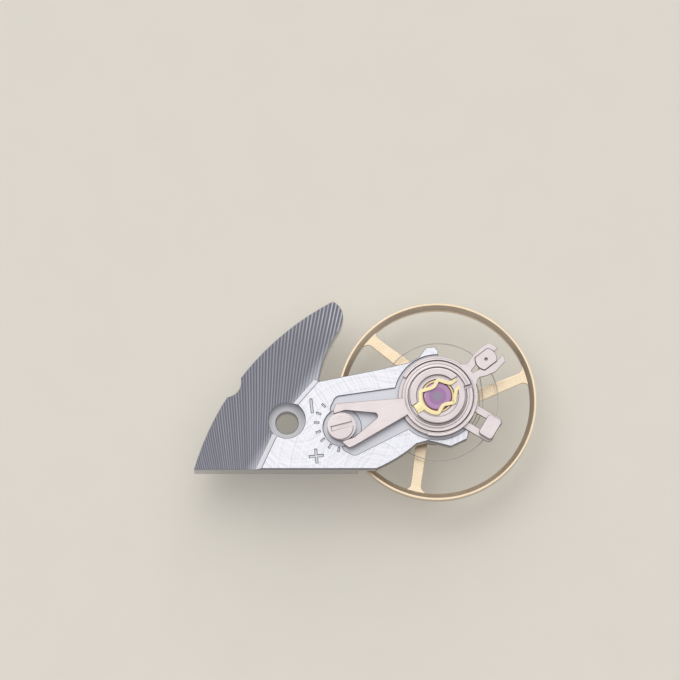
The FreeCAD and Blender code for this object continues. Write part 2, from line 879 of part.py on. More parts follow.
def make_lyre_spring():
    """A flat sprung loop on a hinge bar, whose two dips press on the end stone."""
    line = doc.addObject("Sketcher::SketchObject", "lyre_line")
    back = polar(ORIGIN, s.lyre_loop_radius, s.lyre_loop_angle)
    half = [
        (s.lyre_end_x, s.lyre_end_y),
        (s.lyre_knee_x, s.lyre_knee_y),
        (s.lyre_shoulder_x, s.lyre_shoulder_y),
        (s.lyre_dip_x, s.lyre_dip_y),
        back,
    ]
    other = [(x, -y) for x, y in half]
    steps = [
        Line(*half[1]),
        Arc(half[2], s.lyre_loop_radius, 1),
        Line(*half[3]),
        Line(*half[4]),
        Arc(other[4], s.lyre_loop_radius, 1),
        Line(*other[3]),
        Line(*other[2]),
        Arc(other[1], s.lyre_loop_radius, 1),
        Line(*other[0]),
    ]
    add_outline(line, half[0], steps, closed=False)

    strip = loose("Part::Offset2D", "lyre_strip", Value=s.lyre_width / 2)
    strip.Source = line
    strip.Mode = "Pipe"
    loop = loose("Part::Extrusion", "lyre_loop", LengthFwd=s.lyre_thickness)
    loop.Base = strip
    loop.Dir = Z_AXIS
    loop.Solid = True

    reach = s.lyre_hinge_reach
    tab = loose(
        "Part::Box",
        "lyre_tab",
        Length=reach - s.lyre_loop_radius,
        Width=s.lyre_tab_width,
        Height=s.lyre_thickness,
        Placement_Base_x=-reach,
        Placement_Base_y=-s.lyre_tab_width / 2,
    )
    bar_half = s.hinge_slot_width / 2 + s.lyre_bar_grip
    bar = loose(
        "Part::Cylinder",
        "lyre_bar",
        Radius=s.lyre_bar_radius,
        Height=bar_half * 2,
        Placement_Base_x=-reach,
        Placement_Base_y=bar_half,
        Placement_Base_z=s.lyre_thickness / 2,
    )
    bar.Placement.Rotation = FreeCAD.Rotation(FreeCAD.Vector(1, 0, 0), 90)
    spring = loose(
        "Part::MultiFuse",
        "lyre",
        Placement_Base_x=s.staff_x,
        Placement_Base_y=s.staff_y,
        Placement_Base_z=s.cap_jewel_top,
    )
    spring.Shapes = [loop, tab, bar]
    spring.Placement.Rotation = FreeCAD.Rotation(Z_AXIS, s.lyre_angle.number)
    spring.setExpression("Placement.Rotation.Angle", s.lyre_angle.text)
    spring.Label = "lyre_spring"
    return spring


# Regulator

def make_index():
    """The split ring round the shock block, with the fork that the cam moves."""
    body = new_body("regulator_index", STAFF, s.index_angle)
    ring = new_sketch(body, "index_ring", height=INDEX_BOTTOM)
    add_circle(ring, ORIGIN, s.index_outer_radius)
    add_circle(ring, ORIGIN, RING_BORE)
    pad(body, ring, s.index_height)

    jaw = s.cam_radius + s.cam_play
    root_x = (s.index_inner_radius + s.index_outer_radius) / 2
    side = [
        (root_x, s.fork_root_half),
        (s.fork_shoulder_x, s.fork_shoulder_half),
        (s.fork_corner_x, s.fork_corner_half),
        (s.fork_reach, s.fork_tip_half),
        (s.fork_reach, jaw),
        (s.fork_jaw_x, jaw),
        (s.fork_crotch_x, s.fork_crotch_half),
    ]
    low = [(x, -y) for x, y in side]
    steps = [Line(*p) for p in low[1:]]
    steps.append(Arc(side[-1], s.fork_crotch_half * 1.2, -1))
    steps += [Line(*p) for p in side[-2::-1]]
    steps.append(Line(*low[0]))
    fork = add_outline(new_sketch(body, "fork", height=INDEX_BOTTOM), low[0], steps)
    pad(body, fork, s.index_height)

    relief = new_sketch(body, "index_relief", height=INDEX_TOP)
    add_circle(relief, ORIGIN, s.index_inner_radius)
    pocket(body, relief, s.index_height - s.ring_lip_height)
    split = new_sketch(body, "index_gap", height=INDEX_TOP)
    half = s.index_split / 2
    add_box(split, (-s.carrier_outer_radius, -half), (-s.block_bore_radius, half))
    pocket(body, split, s.index_height)
    return body


def make_curb_pin_carrier():
    """The split ring under the index, whose two rails clamp the key."""
    body = new_body("curb_pin_carrier", STAFF, s.key_angle)
    bottom = POCKET_FLOOR + s.layer_play
    ring = new_sketch(body, "carrier_ring", height=bottom)
    add_circle(ring, ORIGIN, s.carrier_outer_radius)
    add_circle(ring, ORIGIN, RING_BORE)
    pad(body, ring, s.carrier_top - bottom)

    rails = new_sketch(body, "rails", height=s.rail_bottom)
    start_x = (RING_BORE + s.carrier_outer_radius * 2) / 3
    inner, outer, reach = s.rail_inner_half, s.rail_outer_half, s.rail_reach
    for side in (1, -1):
        points = [
            (start_x, inner * side),
            (reach, inner * side),
            (reach, (outer - s.rail_corner) * side),
            (reach - s.rail_corner, outer * side),
            (start_x, outer * side),
        ]
        add_outline(rails, points[0], [Line(*p) for p in points[1:] + points[:1]])
    pad(body, rails, s.carrier_top - s.rail_bottom)

    seat = new_sketch(body, "key_seat", height=s.carrier_top)
    key_middle = (s.spring_turn_radius, as_size(0))
    add_circle(seat, key_middle, s.key_boss_radius + s.key_boss_play)
    pocket(body, seat, s.carrier_top - s.rail_bottom)
    slit = new_sketch(body, "carrier_slit", height=s.carrier_top)
    half = s.carrier_slit / 2
    add_box(slit, (s.block_bore_radius, -half), (s.ring_recess_radius, half))
    pocket(body, slit, s.carrier_top - bottom)
    return body


def curb_pin_middle(side):
    """A pin stands on the outer (side 1) or inner (side -1) face of the spring."""
    return (STRIP_HALF + s.curb_pin_play + s.curb_pin_radius) * side, as_size(0)


def make_regulator_key():
    """The block between the rails, turned to open or close the curb pins."""
    body = new_body("regulator_key", KEY, s.key_angle)
    block = new_sketch(body, "key_block", height=INDEX_BOTTOM)
    x, y, corner = s.key_length / 2, s.key_breadth / 2, s.key_corner
    steps = [
        Arc((x, -y + corner), corner, 1),
        Line(x, y - corner),
        Arc((x - corner, y), corner, 1),
        Line(-x + corner, y),
        Arc((-x, y - corner), corner, 1),
        Line(-x, -y + corner),
        Arc((-x + corner, -y), corner, 1),
        Line(x - corner, -y),
    ]
    add_outline(block, (x - corner, -y), steps)
    pad(body, block, s.key_height)
    boss = new_sketch(body, "key_boss", height=s.key_boss_bottom)
    pad(body, add_circle(boss, ORIGIN, s.key_boss_radius), INDEX_BOTTOM - s.key_boss_bottom)
    holes = new_sketch(body, "curb_pin_holes", height=s.key_boss_bottom + s.curb_pin_seat)
    for side in (1, -1):
        add_circle(holes, curb_pin_middle(side), s.curb_pin_radius)
    pocket(body, holes, s.curb_pin_seat)
    return body


def make_curb_pin(label, side):
    """A pin pressed into the key, reaching down past the hairspring."""
    body = new_body(label, KEY, s.key_angle)
    pin = new_sketch(body, label + "_round", height=s.curb_pin_bottom)
    add_circle(pin, curb_pin_middle(side), s.curb_pin_radius)
    pad(body, pin, s.key_boss_bottom + s.curb_pin_seat - s.curb_pin_bottom)
    return body


def make_stud_carrier():
    """The open ring outside the index, with the claw that grips the stud."""
    body = new_body("stud_carrier", STAFF, s.stud_angle)
    inner = s.index_outer_radius + s.stud_ring_play
    outer = inner + s.stud_ring_width
    start, end = s.stud_ring_start, s.stud_ring_end
    steps = [
        Line(*polar(ORIGIN, outer, start)),
        Arc(polar(ORIGIN, outer, end), outer, 1, large=True),
        Line(*polar(ORIGIN, inner, end)),
        Arc(polar(ORIGIN, inner, start), inner, -1, large=True),
    ]
    ring = new_sketch(body, "stud_ring", height=INDEX_BOTTOM)
    pad(body, add_outline(ring, polar(ORIGIN, inner, start), steps), s.index_height)

    middle = (s.spring_turn_radius, as_size(0))
    radius, flat = s.stud_head_radius + s.claw_play, s.stud_flat_half + s.claw_play
    left, slit, right = traced("claw_left"), traced("claw_slit"), traced("claw_right")
    steps = [
        *(Line(*p) for p in left[1:]),
        Line(*chord(middle, radius, s.claw_lip_left, 1)),
        Arc(chord(middle, radius, flat, 1), radius, 1),
        Line(*chord(middle, radius, flat, -1)),
        Arc(chord(middle, radius, s.claw_slit_left, -1), radius, 1),
        Line(*slit[0]),
        Line(*slit[1]),
        Line(*chord(middle, radius, -s.claw_slit_right, -1)),
        Arc(chord(middle, radius, -flat, -1), radius, 1),
        Line(*chord(middle, radius, -flat, 1)),
        Arc(chord(middle, radius, -s.claw_lip_right, 1), radius, 1),
        *(Line(*p) for p in right),
        Line(*left[0]),
    ]
    claw = new_sketch(body, "claw", height=INDEX_BOTTOM)
    pad(body, add_outline(claw, left[0], steps), s.index_height)
    return body


def make_stud():
    """The stud: a head with two flats in the claw, and a slit stem for the spring."""
    body = new_body("hairspring_stud", STUD, s.stud_angle)
    flat, radius = s.stud_flat_half, s.stud_head_radius
    order = ((-flat, 1), (flat, 1), (flat, -1), (-flat, -1))
    corners = [chord(ORIGIN, radius, y, side) for y, side in order]
    steps = [
        Arc(corners[1], radius, 1),
        Line(*corners[2]),
        Arc(corners[3], radius, 1),
        Line(*corners[0]),
    ]
    head = new_sketch(body, "stud_head", height=INDEX_BOTTOM)
    add_outline(head, corners[0], steps)
    pad(body, head, s.index_height + s.stud_head_rise)
    stem = new_sketch(body, "stud_stem", height=s.stud_bottom)
    pad(body, add_circle(stem, ORIGIN, s.stud_stem_radius), INDEX_BOTTOM - s.stud_bottom)
    slit = new_sketch(body, "stud_slit", height=s.stud_slit_top)
    half, wide = STRIP_HALF + s.stud_slit_play, s.stud_head_radius
    add_box(slit, (-half, -wide), (half, wide))
    pocket(body, slit, s.stud_slit_top - s.stud_bottom)
    eye = new_sketch(body, "stud_eye", height=INDEX_TOP + s.stud_head_rise)
    pocket(body, add_circle(eye, ORIGIN, s.stud_eye_radius), s.stud_eye_depth)
    return body


def make_eccentric():
    """The slotted screw whose cam, between the prongs, moves the index a little."""
    body = new_body("regulating_eccentric", ECCENTRIC, s.index_angle)
    floor = POCKET_FLOOR - s.cam_recess_depth + s.cam_floor_play
    cam = new_sketch(body, "cam", height=floor)
    pad(body, add_circle(cam, (-s.cam_throw, 0), s.cam_radius), s.cam_top - floor)
    stem = new_sketch(body, "stem", height=s.arm_bottom)
    pad(body, add_circle(stem, ORIGIN, s.eccentric_stem_radius), floor - s.arm_bottom)
    head = new_sketch(body, "head", height=s.cam_top)
    head_radius = s.eccentric_head_radius
    pad(body, add_circle(head, ORIGIN, head_radius), s.eccentric_head_top - s.cam_top)
    slot = new_sketch(body, "driver_slot", height=s.eccentric_head_top)
    near, far = head_radius * -1.2, head_radius - s.slot_land
    angle = s.slot_angle - s.index_angle
    middle = polar(ORIGIN, (near + far) / 2, angle)
    pocket(body, add_mark(slot, middle, far - near, s.slot_width, angle), s.slot_depth)
    return body


# Balance

def arm_side(side, rim_inner):
    """One edge of the arm, which runs beside the axis: its root, bend and flare's end."""
    flare, middle = s.arm_flare, -s.arm_offset
    edge = middle + s.arm_outer_half * side
    bend_x = chord(ORIGIN, rim_inner, edge, 1)[0] - flare * 0.85
    end = polar((bend_x, edge + flare * side), flare, -15 * side)
    return [(as_size(0), middle + s.arm_inner_half * side), (bend_x, edge), end]


def make_wheel():
    """The rim with its bevelled inner face, three flared arms and the hub."""
    body = new_body("balance_wheel", STAFF, s.arm_angle)
    inner, outer = s.wheel_radius - s.rim_width, s.wheel_radius
    arm_top = s.arm_underside + s.arm_thickness
    rim = new_sketch(body, "rim", "XZ_Plane")
    profile = [
        (inner, s.rim_bottom),
        (outer, s.rim_bottom),
        (outer, s.rim_top),
        (outer - s.rim_flat, s.rim_top),
        (inner, arm_top),
    ]
    add_outline(rim, profile[0], [Line(*p) for p in profile[1:] + profile[:1]])
    revolve(body, rim)

    flare = s.arm_flare
    low, high = (arm_side(side, inner) for side in (-1, 1))
    steps = [
        Line(*low[1]),
        Arc(low[2], flare, -1),
        Line(*high[2]),
        Arc(high[1], flare, -1),
        Line(*high[0]),
        Line(*low[0]),
    ]
    arm = add_outline(new_sketch(body, "arm", height=s.arm_underside), low[0], steps)
    arm_pad = pad(body, arm, s.arm_thickness)
    copies(body, arm_pad, arm, s.arm_count)
    hub = new_sketch(body, "hub", height=s.arm_underside)
    pad(body, add_circle(hub, ORIGIN, s.hub_radius), s.arm_thickness)
    bore = new_sketch(body, "hub_bore", height=arm_top)
    pocket(body, add_circle(bore, ORIGIN, s.wheel_seat_radius), s.arm_thickness)
    return body


def make_staff():
    """The staff, turned from one rod, with a conical pivot at each end."""
    pivot, low_tip = s.pivot_radius, s.lower_pivot_tip
    low_cone = low_tip + s.lower_pivot_length
    top_tip = s.cap_jewel_bottom - s.pivot_endshake
    round_off = pivot / 2
    profile = [
        (0, low_tip),
        (pivot - round_off, low_tip),
        (pivot, low_tip + round_off),
        (pivot, low_cone),
        (s.staff_lower_radius, low_cone + s.pivot_cone),
        (s.staff_lower_radius, s.roller_seat_bottom),
        (s.roller_seat_radius, s.roller_seat_bottom),
        (s.roller_seat_radius, s.flange_bottom),
        (s.flange_radius, s.flange_bottom),
        (s.flange_radius, s.arm_underside),
        (s.wheel_seat_radius, s.arm_underside),
        (s.wheel_seat_radius, s.arm_underside + s.arm_thickness + s.wheel_seat_rise),
        (s.collet_seat_radius, s.arm_underside + s.arm_thickness + s.wheel_seat_rise),
        (s.collet_seat_radius, s.staff_neck_z),
        (s.staff_upper_radius, s.staff_neck_z),
        (s.staff_upper_radius, s.upper_cone_z),
        (pivot, s.upper_pivot_z),
        (pivot, top_tip - round_off),
        (pivot - round_off, top_tip),
        (0, top_tip),
    ]
    return turned("balance_staff", profile)


def impulse_outline(sketch):
    """The impulse jewel's D shape, with its flat facing outwards."""
    radius, reach = s.impulse_radius, s.impulse_flat
    half = root(radius * radius - reach * reach)
    x = s.impulse_distance + reach
    steps = [Line(x, half), Arc((x, -half), radius, 1, large=True)]
    return add_outline(sketch, (x, -half), steps)


def make_roller():
    """The double roller: a table for the impulse jewel and a notched safety disc."""
    bore, bottom = s.roller_seat_radius, s.roller_bottom
    top = s.flange_bottom
    profile = [
        (bore, bottom),
        (s.safety_radius, bottom),
        (s.safety_radius, bottom + s.safety_height),
        (s.roller_hub_radius, bottom + s.safety_height),
        (s.roller_hub_radius, top - s.table_height),
        (s.table_radius, top - s.table_height),
        (s.table_radius, top),
        (bore, top),
    ]
    body = turned("roller", profile, turn=s.impulse_angle)
    hole = impulse_outline(new_sketch(body, "jewel_seat", height=top))
    pocket(body, hole, s.table_height)
    notch = new_sketch(body, "safety_notch", height=bottom + s.safety_height)
    middle = (s.roller_hub_radius + s.safety_notch_radius, as_size(0))
    pocket(body, add_circle(notch, middle, s.safety_notch_radius), s.safety_height)
    return body


def make_impulse_jewel():
    body = new_body("impulse_jewel", STAFF, s.impulse_angle)
    sketch = impulse_outline(new_sketch(body, "impulse_shape", height=s.impulse_bottom))
    pad(body, sketch, s.flange_bottom - s.impulse_bottom)
    return body


def make_collet():
    """The slit ring that grips the staff and carries the spring's inner end."""
    profile = [
        (s.collet_seat_radius, s.collet_bottom),
        (s.collet_radius, s.collet_bottom),
        (s.collet_radius, s.collet_top),
        (s.collet_seat_radius, s.collet_top),
    ]
    body = turned("collet", profile, turn=s.spring_tail_angle + 90)
    slit = new_sketch(body, "collet_gap", height=s.collet_top)
    half = s.collet_slit / 2
    add_box(slit, (s.collet_seat_radius / 2, -half), (s.collet_radius * 1.2, half))
    pocket(body, slit, s.collet_top - s.collet_bottom)
    return body


# Hairspring

def spring_stretches():
    """The spring's middle line from the collet to the stud, about the staff's axis.

    Each stretch is (centre, radius, from angle, to angle) in plain numbers, or
    (start, end) for the straight one. The body is half turns about two centres,
    and a straight run and a bend lead out to the outer turn, which swells until
    it runs true about the staff past the pins to the stud.
    """
    tail = math.radians(s.spring_tail_angle.number)
    half_turns = s.spring_half_turns.number
    inner = s.collet_radius.number + STRIP_HALF.number
    body = s.spring_body_radius.number
    rise = (body - inner) / half_turns
    foot = tail + math.pi - math.radians(s.spring_foot_angle.number)
    stretches = [((0, 0), inner, foot, tail + math.pi)]
    for turn in range(int(half_turns)):
        side = rise / 2 * (-1) ** turn
        centre = (side * math.cos(tail), side * math.sin(tail))
        begin = tail + math.pi * ((turn + 1) % 2)
        stretches.append((centre, inner + (turn + 0.5) * rise, begin, begin + math.pi))

    start = (body * math.cos(tail), body * math.sin(tail))
    ahead = (-math.sin(tail), math.cos(tail))
    bend = s.spring_bend_radius.number
    swell = s.spring_swell_radius.number
    true = s.spring_turn_radius.number
    swell_angle = math.radians(s.spring_swell_angle.number)
    off = true - swell
    swell_centre = (off * math.cos(swell_angle), off * math.sin(swell_angle))
    base = (
        start[0] - bend * math.cos(tail) - swell_centre[0],
        start[1] - bend * math.sin(tail) - swell_centre[1],
    )
    along = base[0] * ahead[0] + base[1] * ahead[1]
    square = base[0] ** 2 + base[1] ** 2 - (swell - bend) ** 2
    run = -along + math.sqrt(along**2 - square)
    end = (start[0] + run * ahead[0], start[1] + run * ahead[1])
    stretches.append((start, end))
    bend_centre = (
        swell_centre[0] + base[0] + run * ahead[0],
        swell_centre[1] + base[1] + run * ahead[1],
    )
    meet = math.atan2(base[1] + run * ahead[1], base[0] + run * ahead[0])
    stretches.append((bend_centre, bend, tail, meet))
    swell_end = swell_angle + math.tau
    stretches.append((swell_centre, swell, meet, swell_end))
    stud = math.radians(s.stud_angle.number + s.stud_grip_angle.number) + math.tau
    stretches.append(((0, 0), true, swell_end, stud))
    return stretches


def spring_edge(stretch, offset):
    """One side of the strip along a stretch, at this distance outside its middle."""
    if len(stretch) == 2:
        (ax, ay), (bx, by) = stretch
        length = math.hypot(bx - ax, by - ay)
        shift = FreeCAD.Vector((by - ay) / length, (ax - bx) / length, 0) * offset
        return Part.LineSegment(
            FreeCAD.Vector(ax, ay, 0) + shift, FreeCAD.Vector(bx, by, 0) + shift
        ).toShape()
    centre, radius, begin, end = stretch
    circle = Part.Circle(FreeCAD.Vector(*centre, 0), Z_AXIS, radius + offset)
    return Part.ArcOfCircle(circle, begin, end).toShape()


def least_gap(stretches):
    """The smallest space between neighbouring turns, measured along many rays."""
    rays = {}
    for stretch in stretches:
        if len(stretch) == 2:
            points = [
                (
                    stretch[0][0] + (stretch[1][0] - stretch[0][0]) * n / 40,
                    stretch[0][1] + (stretch[1][1] - stretch[0][1]) * n / 40,
                )
                for n in range(40)
            ]
        else:
            (cx, cy), radius, begin, end = stretch
            steps = max(int((end - begin) / 0.02), 1)
            angles = [begin + (end - begin) * n / steps for n in range(steps)]
            points = [
                (cx + radius * math.cos(a), cy + radius * math.sin(a)) for a in angles
            ]
        for x, y in points:
            ray = round(math.degrees(math.atan2(y, x)) / 3)
            rays.setdefault(ray, []).append(math.hypot(x, y))
    gaps = []
    for radii in rays.values():
        radii.sort()
        steps = [b - a for a, b in zip(radii, radii[1:])]
        gaps += [step for step in steps if step > s.spring_thickness.number * 2]
    return min(gaps) - s.spring_thickness.number


def make_hairspring():
    stretches = spring_stretches()
    half = STRIP_HALF.number
    outer = [spring_edge(x, half) for x in stretches]
    inner = [spring_edge(x, -half) for x in stretches]
    caps = []
    for end in (0, -1):
        ends = [side[end].Vertexes[end].Point for side in (outer, inner)]
        caps.append(Part.LineSegment(*ends).toShape())
    outline = Part.Wire(Part.__sortEdges__(outer + inner + caps))
    strip = Part.Face(outline)
    spring = doc.addObject("Part::Feature", "hairspring")
    spring.Shape = strip.extrude(FreeCAD.Vector(0, 0, s.spring_height.number))
    place = FreeCAD.Vector(*numbers(STAFF), s.spring_bottom.number)
    spring.Placement = FreeCAD.Placement(place, FreeCAD.Rotation())
    print(f"hairspring: least gap between turns {least_gap(stretches):.3f} mm")
    return spring


# The whole assembly

pieces = [
    make_cock(),
    make_steady_pin("steady_pin_tip", s.tip_pin_x, s.tip_pin_y),
    make_steady_pin("steady_pin_corner", s.corner_pin_x, s.corner_pin_y),
    make_shock_block(),
    make_jewel_setting(),
    make_hole_jewel(),
    make_cap_jewel(),
    make_lyre_spring(),
    make_index(),
    make_curb_pin_carrier(),
    make_regulator_key(),
    make_curb_pin("outer_curb_pin", 1),
    make_curb_pin("inner_curb_pin", -1),
    make_stud_carrier(),
    make_stud(),
    make_eccentric(),
    make_wheel(),
    make_staff(),
    make_roller(),
    make_impulse_jewel(),
    make_collet(),
    make_hairspring(),
]
doc.recompute()

for item in doc.Objects:
    if "Invalid" in item.State or "Error" in item.State:
        raise ValueError(f"{item.Name} failed: {item.State}")
for piece in pieces:
    if piece.Shape.isNull() or not piece.Shape.isValid():
        raise ValueError(f"{piece.Label} has no valid shape")

os.makedirs("parts", exist_ok=True)
for piece in pieces:
    piece.Shape.exportStep(f"parts/{piece.Label}.step")
    solids = len(piece.Shape.Solids)
    print(f"{piece.Label}: {solids} solid(s), {piece.Shape.Volume:.4f} mm3")
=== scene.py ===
"""A watch's balance wheel on its cock, with the regulator and the shock setting."""

from __future__ import annotations

import logging
import math
from dataclasses import dataclass, field
from enum import Enum
from typing import Any, Callable, Optional, Sequence, Union

import bmesh
import bpy
from mathutils import Matrix, Vector


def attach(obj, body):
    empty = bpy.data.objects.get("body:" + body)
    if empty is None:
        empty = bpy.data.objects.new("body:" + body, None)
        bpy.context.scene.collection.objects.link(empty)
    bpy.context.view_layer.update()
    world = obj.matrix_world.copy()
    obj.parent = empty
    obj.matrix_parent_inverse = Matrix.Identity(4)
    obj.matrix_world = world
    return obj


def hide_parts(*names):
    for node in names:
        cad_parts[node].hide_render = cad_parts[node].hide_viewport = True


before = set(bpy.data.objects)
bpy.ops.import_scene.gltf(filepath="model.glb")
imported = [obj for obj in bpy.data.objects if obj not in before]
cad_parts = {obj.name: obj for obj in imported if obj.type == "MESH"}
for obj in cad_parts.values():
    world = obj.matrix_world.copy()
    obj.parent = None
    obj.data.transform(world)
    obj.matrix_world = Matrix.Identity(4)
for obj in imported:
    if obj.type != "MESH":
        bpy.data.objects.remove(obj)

log = logging.getLogger("balance")

MM = 0.001
FINE_WELD = 1e-6
WELD = 1e-5
ROUGH_WELD = 0.003
ROUND = 128
ARC_STEP = 3.0
CLEAR = 0.1
STAFF = (7.54, 1.15)
ECCENTRIC = (2.674, -0.394)
STUD = (9.968, 3.013)
KEY = (10.163, -0.426)
INDEX_ANGLE = 197.6
KEY_ANGLE = -31.0
STUD_ANGLE = 37.5
LYRE_ANGLE = 33.0

Point = tuple[float, float]
Step = tuple[float, ...]
Colour = tuple[float, float, float]


def polar(radius: float, degrees: float, centre: Point = (0.0, 0.0)) -> Point:
    """The point at a distance and a direction from a centre, in mm and degrees."""
    turn = math.radians(degrees)
    return centre[0] + radius * math.cos(turn), centre[1] + radius * math.sin(turn)


def corners_of(made: Sequence[Any]) -> list[bmesh.types.BMVert]:
    """The corners among the things that an operator made."""
    return [thing for thing in made if isinstance(thing, bmesh.types.BMVert)]


def stand(name: str, data: Any) -> bpy.types.Object:
    """Put an object that holds some data in the scene."""
    thing = bpy.data.objects.new(name, data)
    bpy.context.scene.collection.objects.link(thing)
    return thing


# Shapes


class Pen:
    """Draws one outline as a chain of edges, in millimetres."""

    def __init__(self, mesh: bmesh.types.BMesh, start: Point) -> None:
        """Set the pen down in a mesh, at the first corner."""
        self.mesh = mesh
        self.tip = mesh.verts.new((*start, 0.0))
        self.drawn = [self.tip]

    def line(self, end: Point) -> None:
        """Draw a straight edge to a corner."""
        made = bmesh.ops.extrude_vert_indiv(self.mesh, verts=[self.tip])
        self.tip = made["verts"][0]
        self.tip.co = Vector((*end, 0.0))
        self.drawn.append(self.tip)

    def swing(self, centre: Point, degrees: float) -> None:
        """Draw an arc by turning the tip about a centre.

        Args:
            centre: The arc's centre.
            degrees: How far the tip turns, to the left if positive.
        """
        before = set(self.mesh.verts)
        made = bmesh.ops.spin(
            self.mesh,
            geom=[self.tip],
            cent=(*centre, 0.0),
            axis=(0.0, 0.0, 1.0),
            angle=math.radians(degrees),
            steps=max(2, math.ceil(abs(degrees) / ARC_STEP)),
        )
        self.tip = corners_of(made["geom_last"])[0]
        self.drawn += [v for v in self.mesh.verts if v not in before]

    def bend(self, end: Point, radius: float, large: bool = False) -> None:
        """Draw an arc of a given radius to a corner.

        Args:
            end: The arc's last point.
            radius: Its radius, negative where it turns to the right.
            large: Whether it is longer than half a circle.
        """
        start = self.tip.co.to_2d()
        chord = Vector(end) - start
        side = (1.0 if radius > 0 else -1.0) * (-1.0 if large else 1.0)
        height = math.sqrt(max(radius**2 - (chord.length / 2) ** 2, 0.0))
        across = Vector((-chord.y, chord.x)).normalized()
        centre = start + chord / 2 + across * height * side
        half = math.degrees(math.asin(min(chord.length / 2 / abs(radius), 1.0)))
        sweep = 360.0 - 2 * half if large else 2 * half
        self.swing(tuple(centre), math.copysign(sweep, radius))

    def close(self) -> None:
        """Go back to where the pen was set down, unless it is there already."""
        start = self.drawn[0].co.to_2d()
        if (self.tip.co.to_2d() - start).length > ROUGH_WELD:
            self.line(tuple(start))

    def follow(self, steps: Sequence[Step]) -> None:
        """Draw through corners: (x, y), (x, y, radius) or (x, y, radius, large)."""
        for step in steps:
            if len(step) > 2:
                self.bend((step[0], step[1]), step[2], len(step) > 3 and bool(step[3]))
            else:
                self.line((step[0], step[1]))


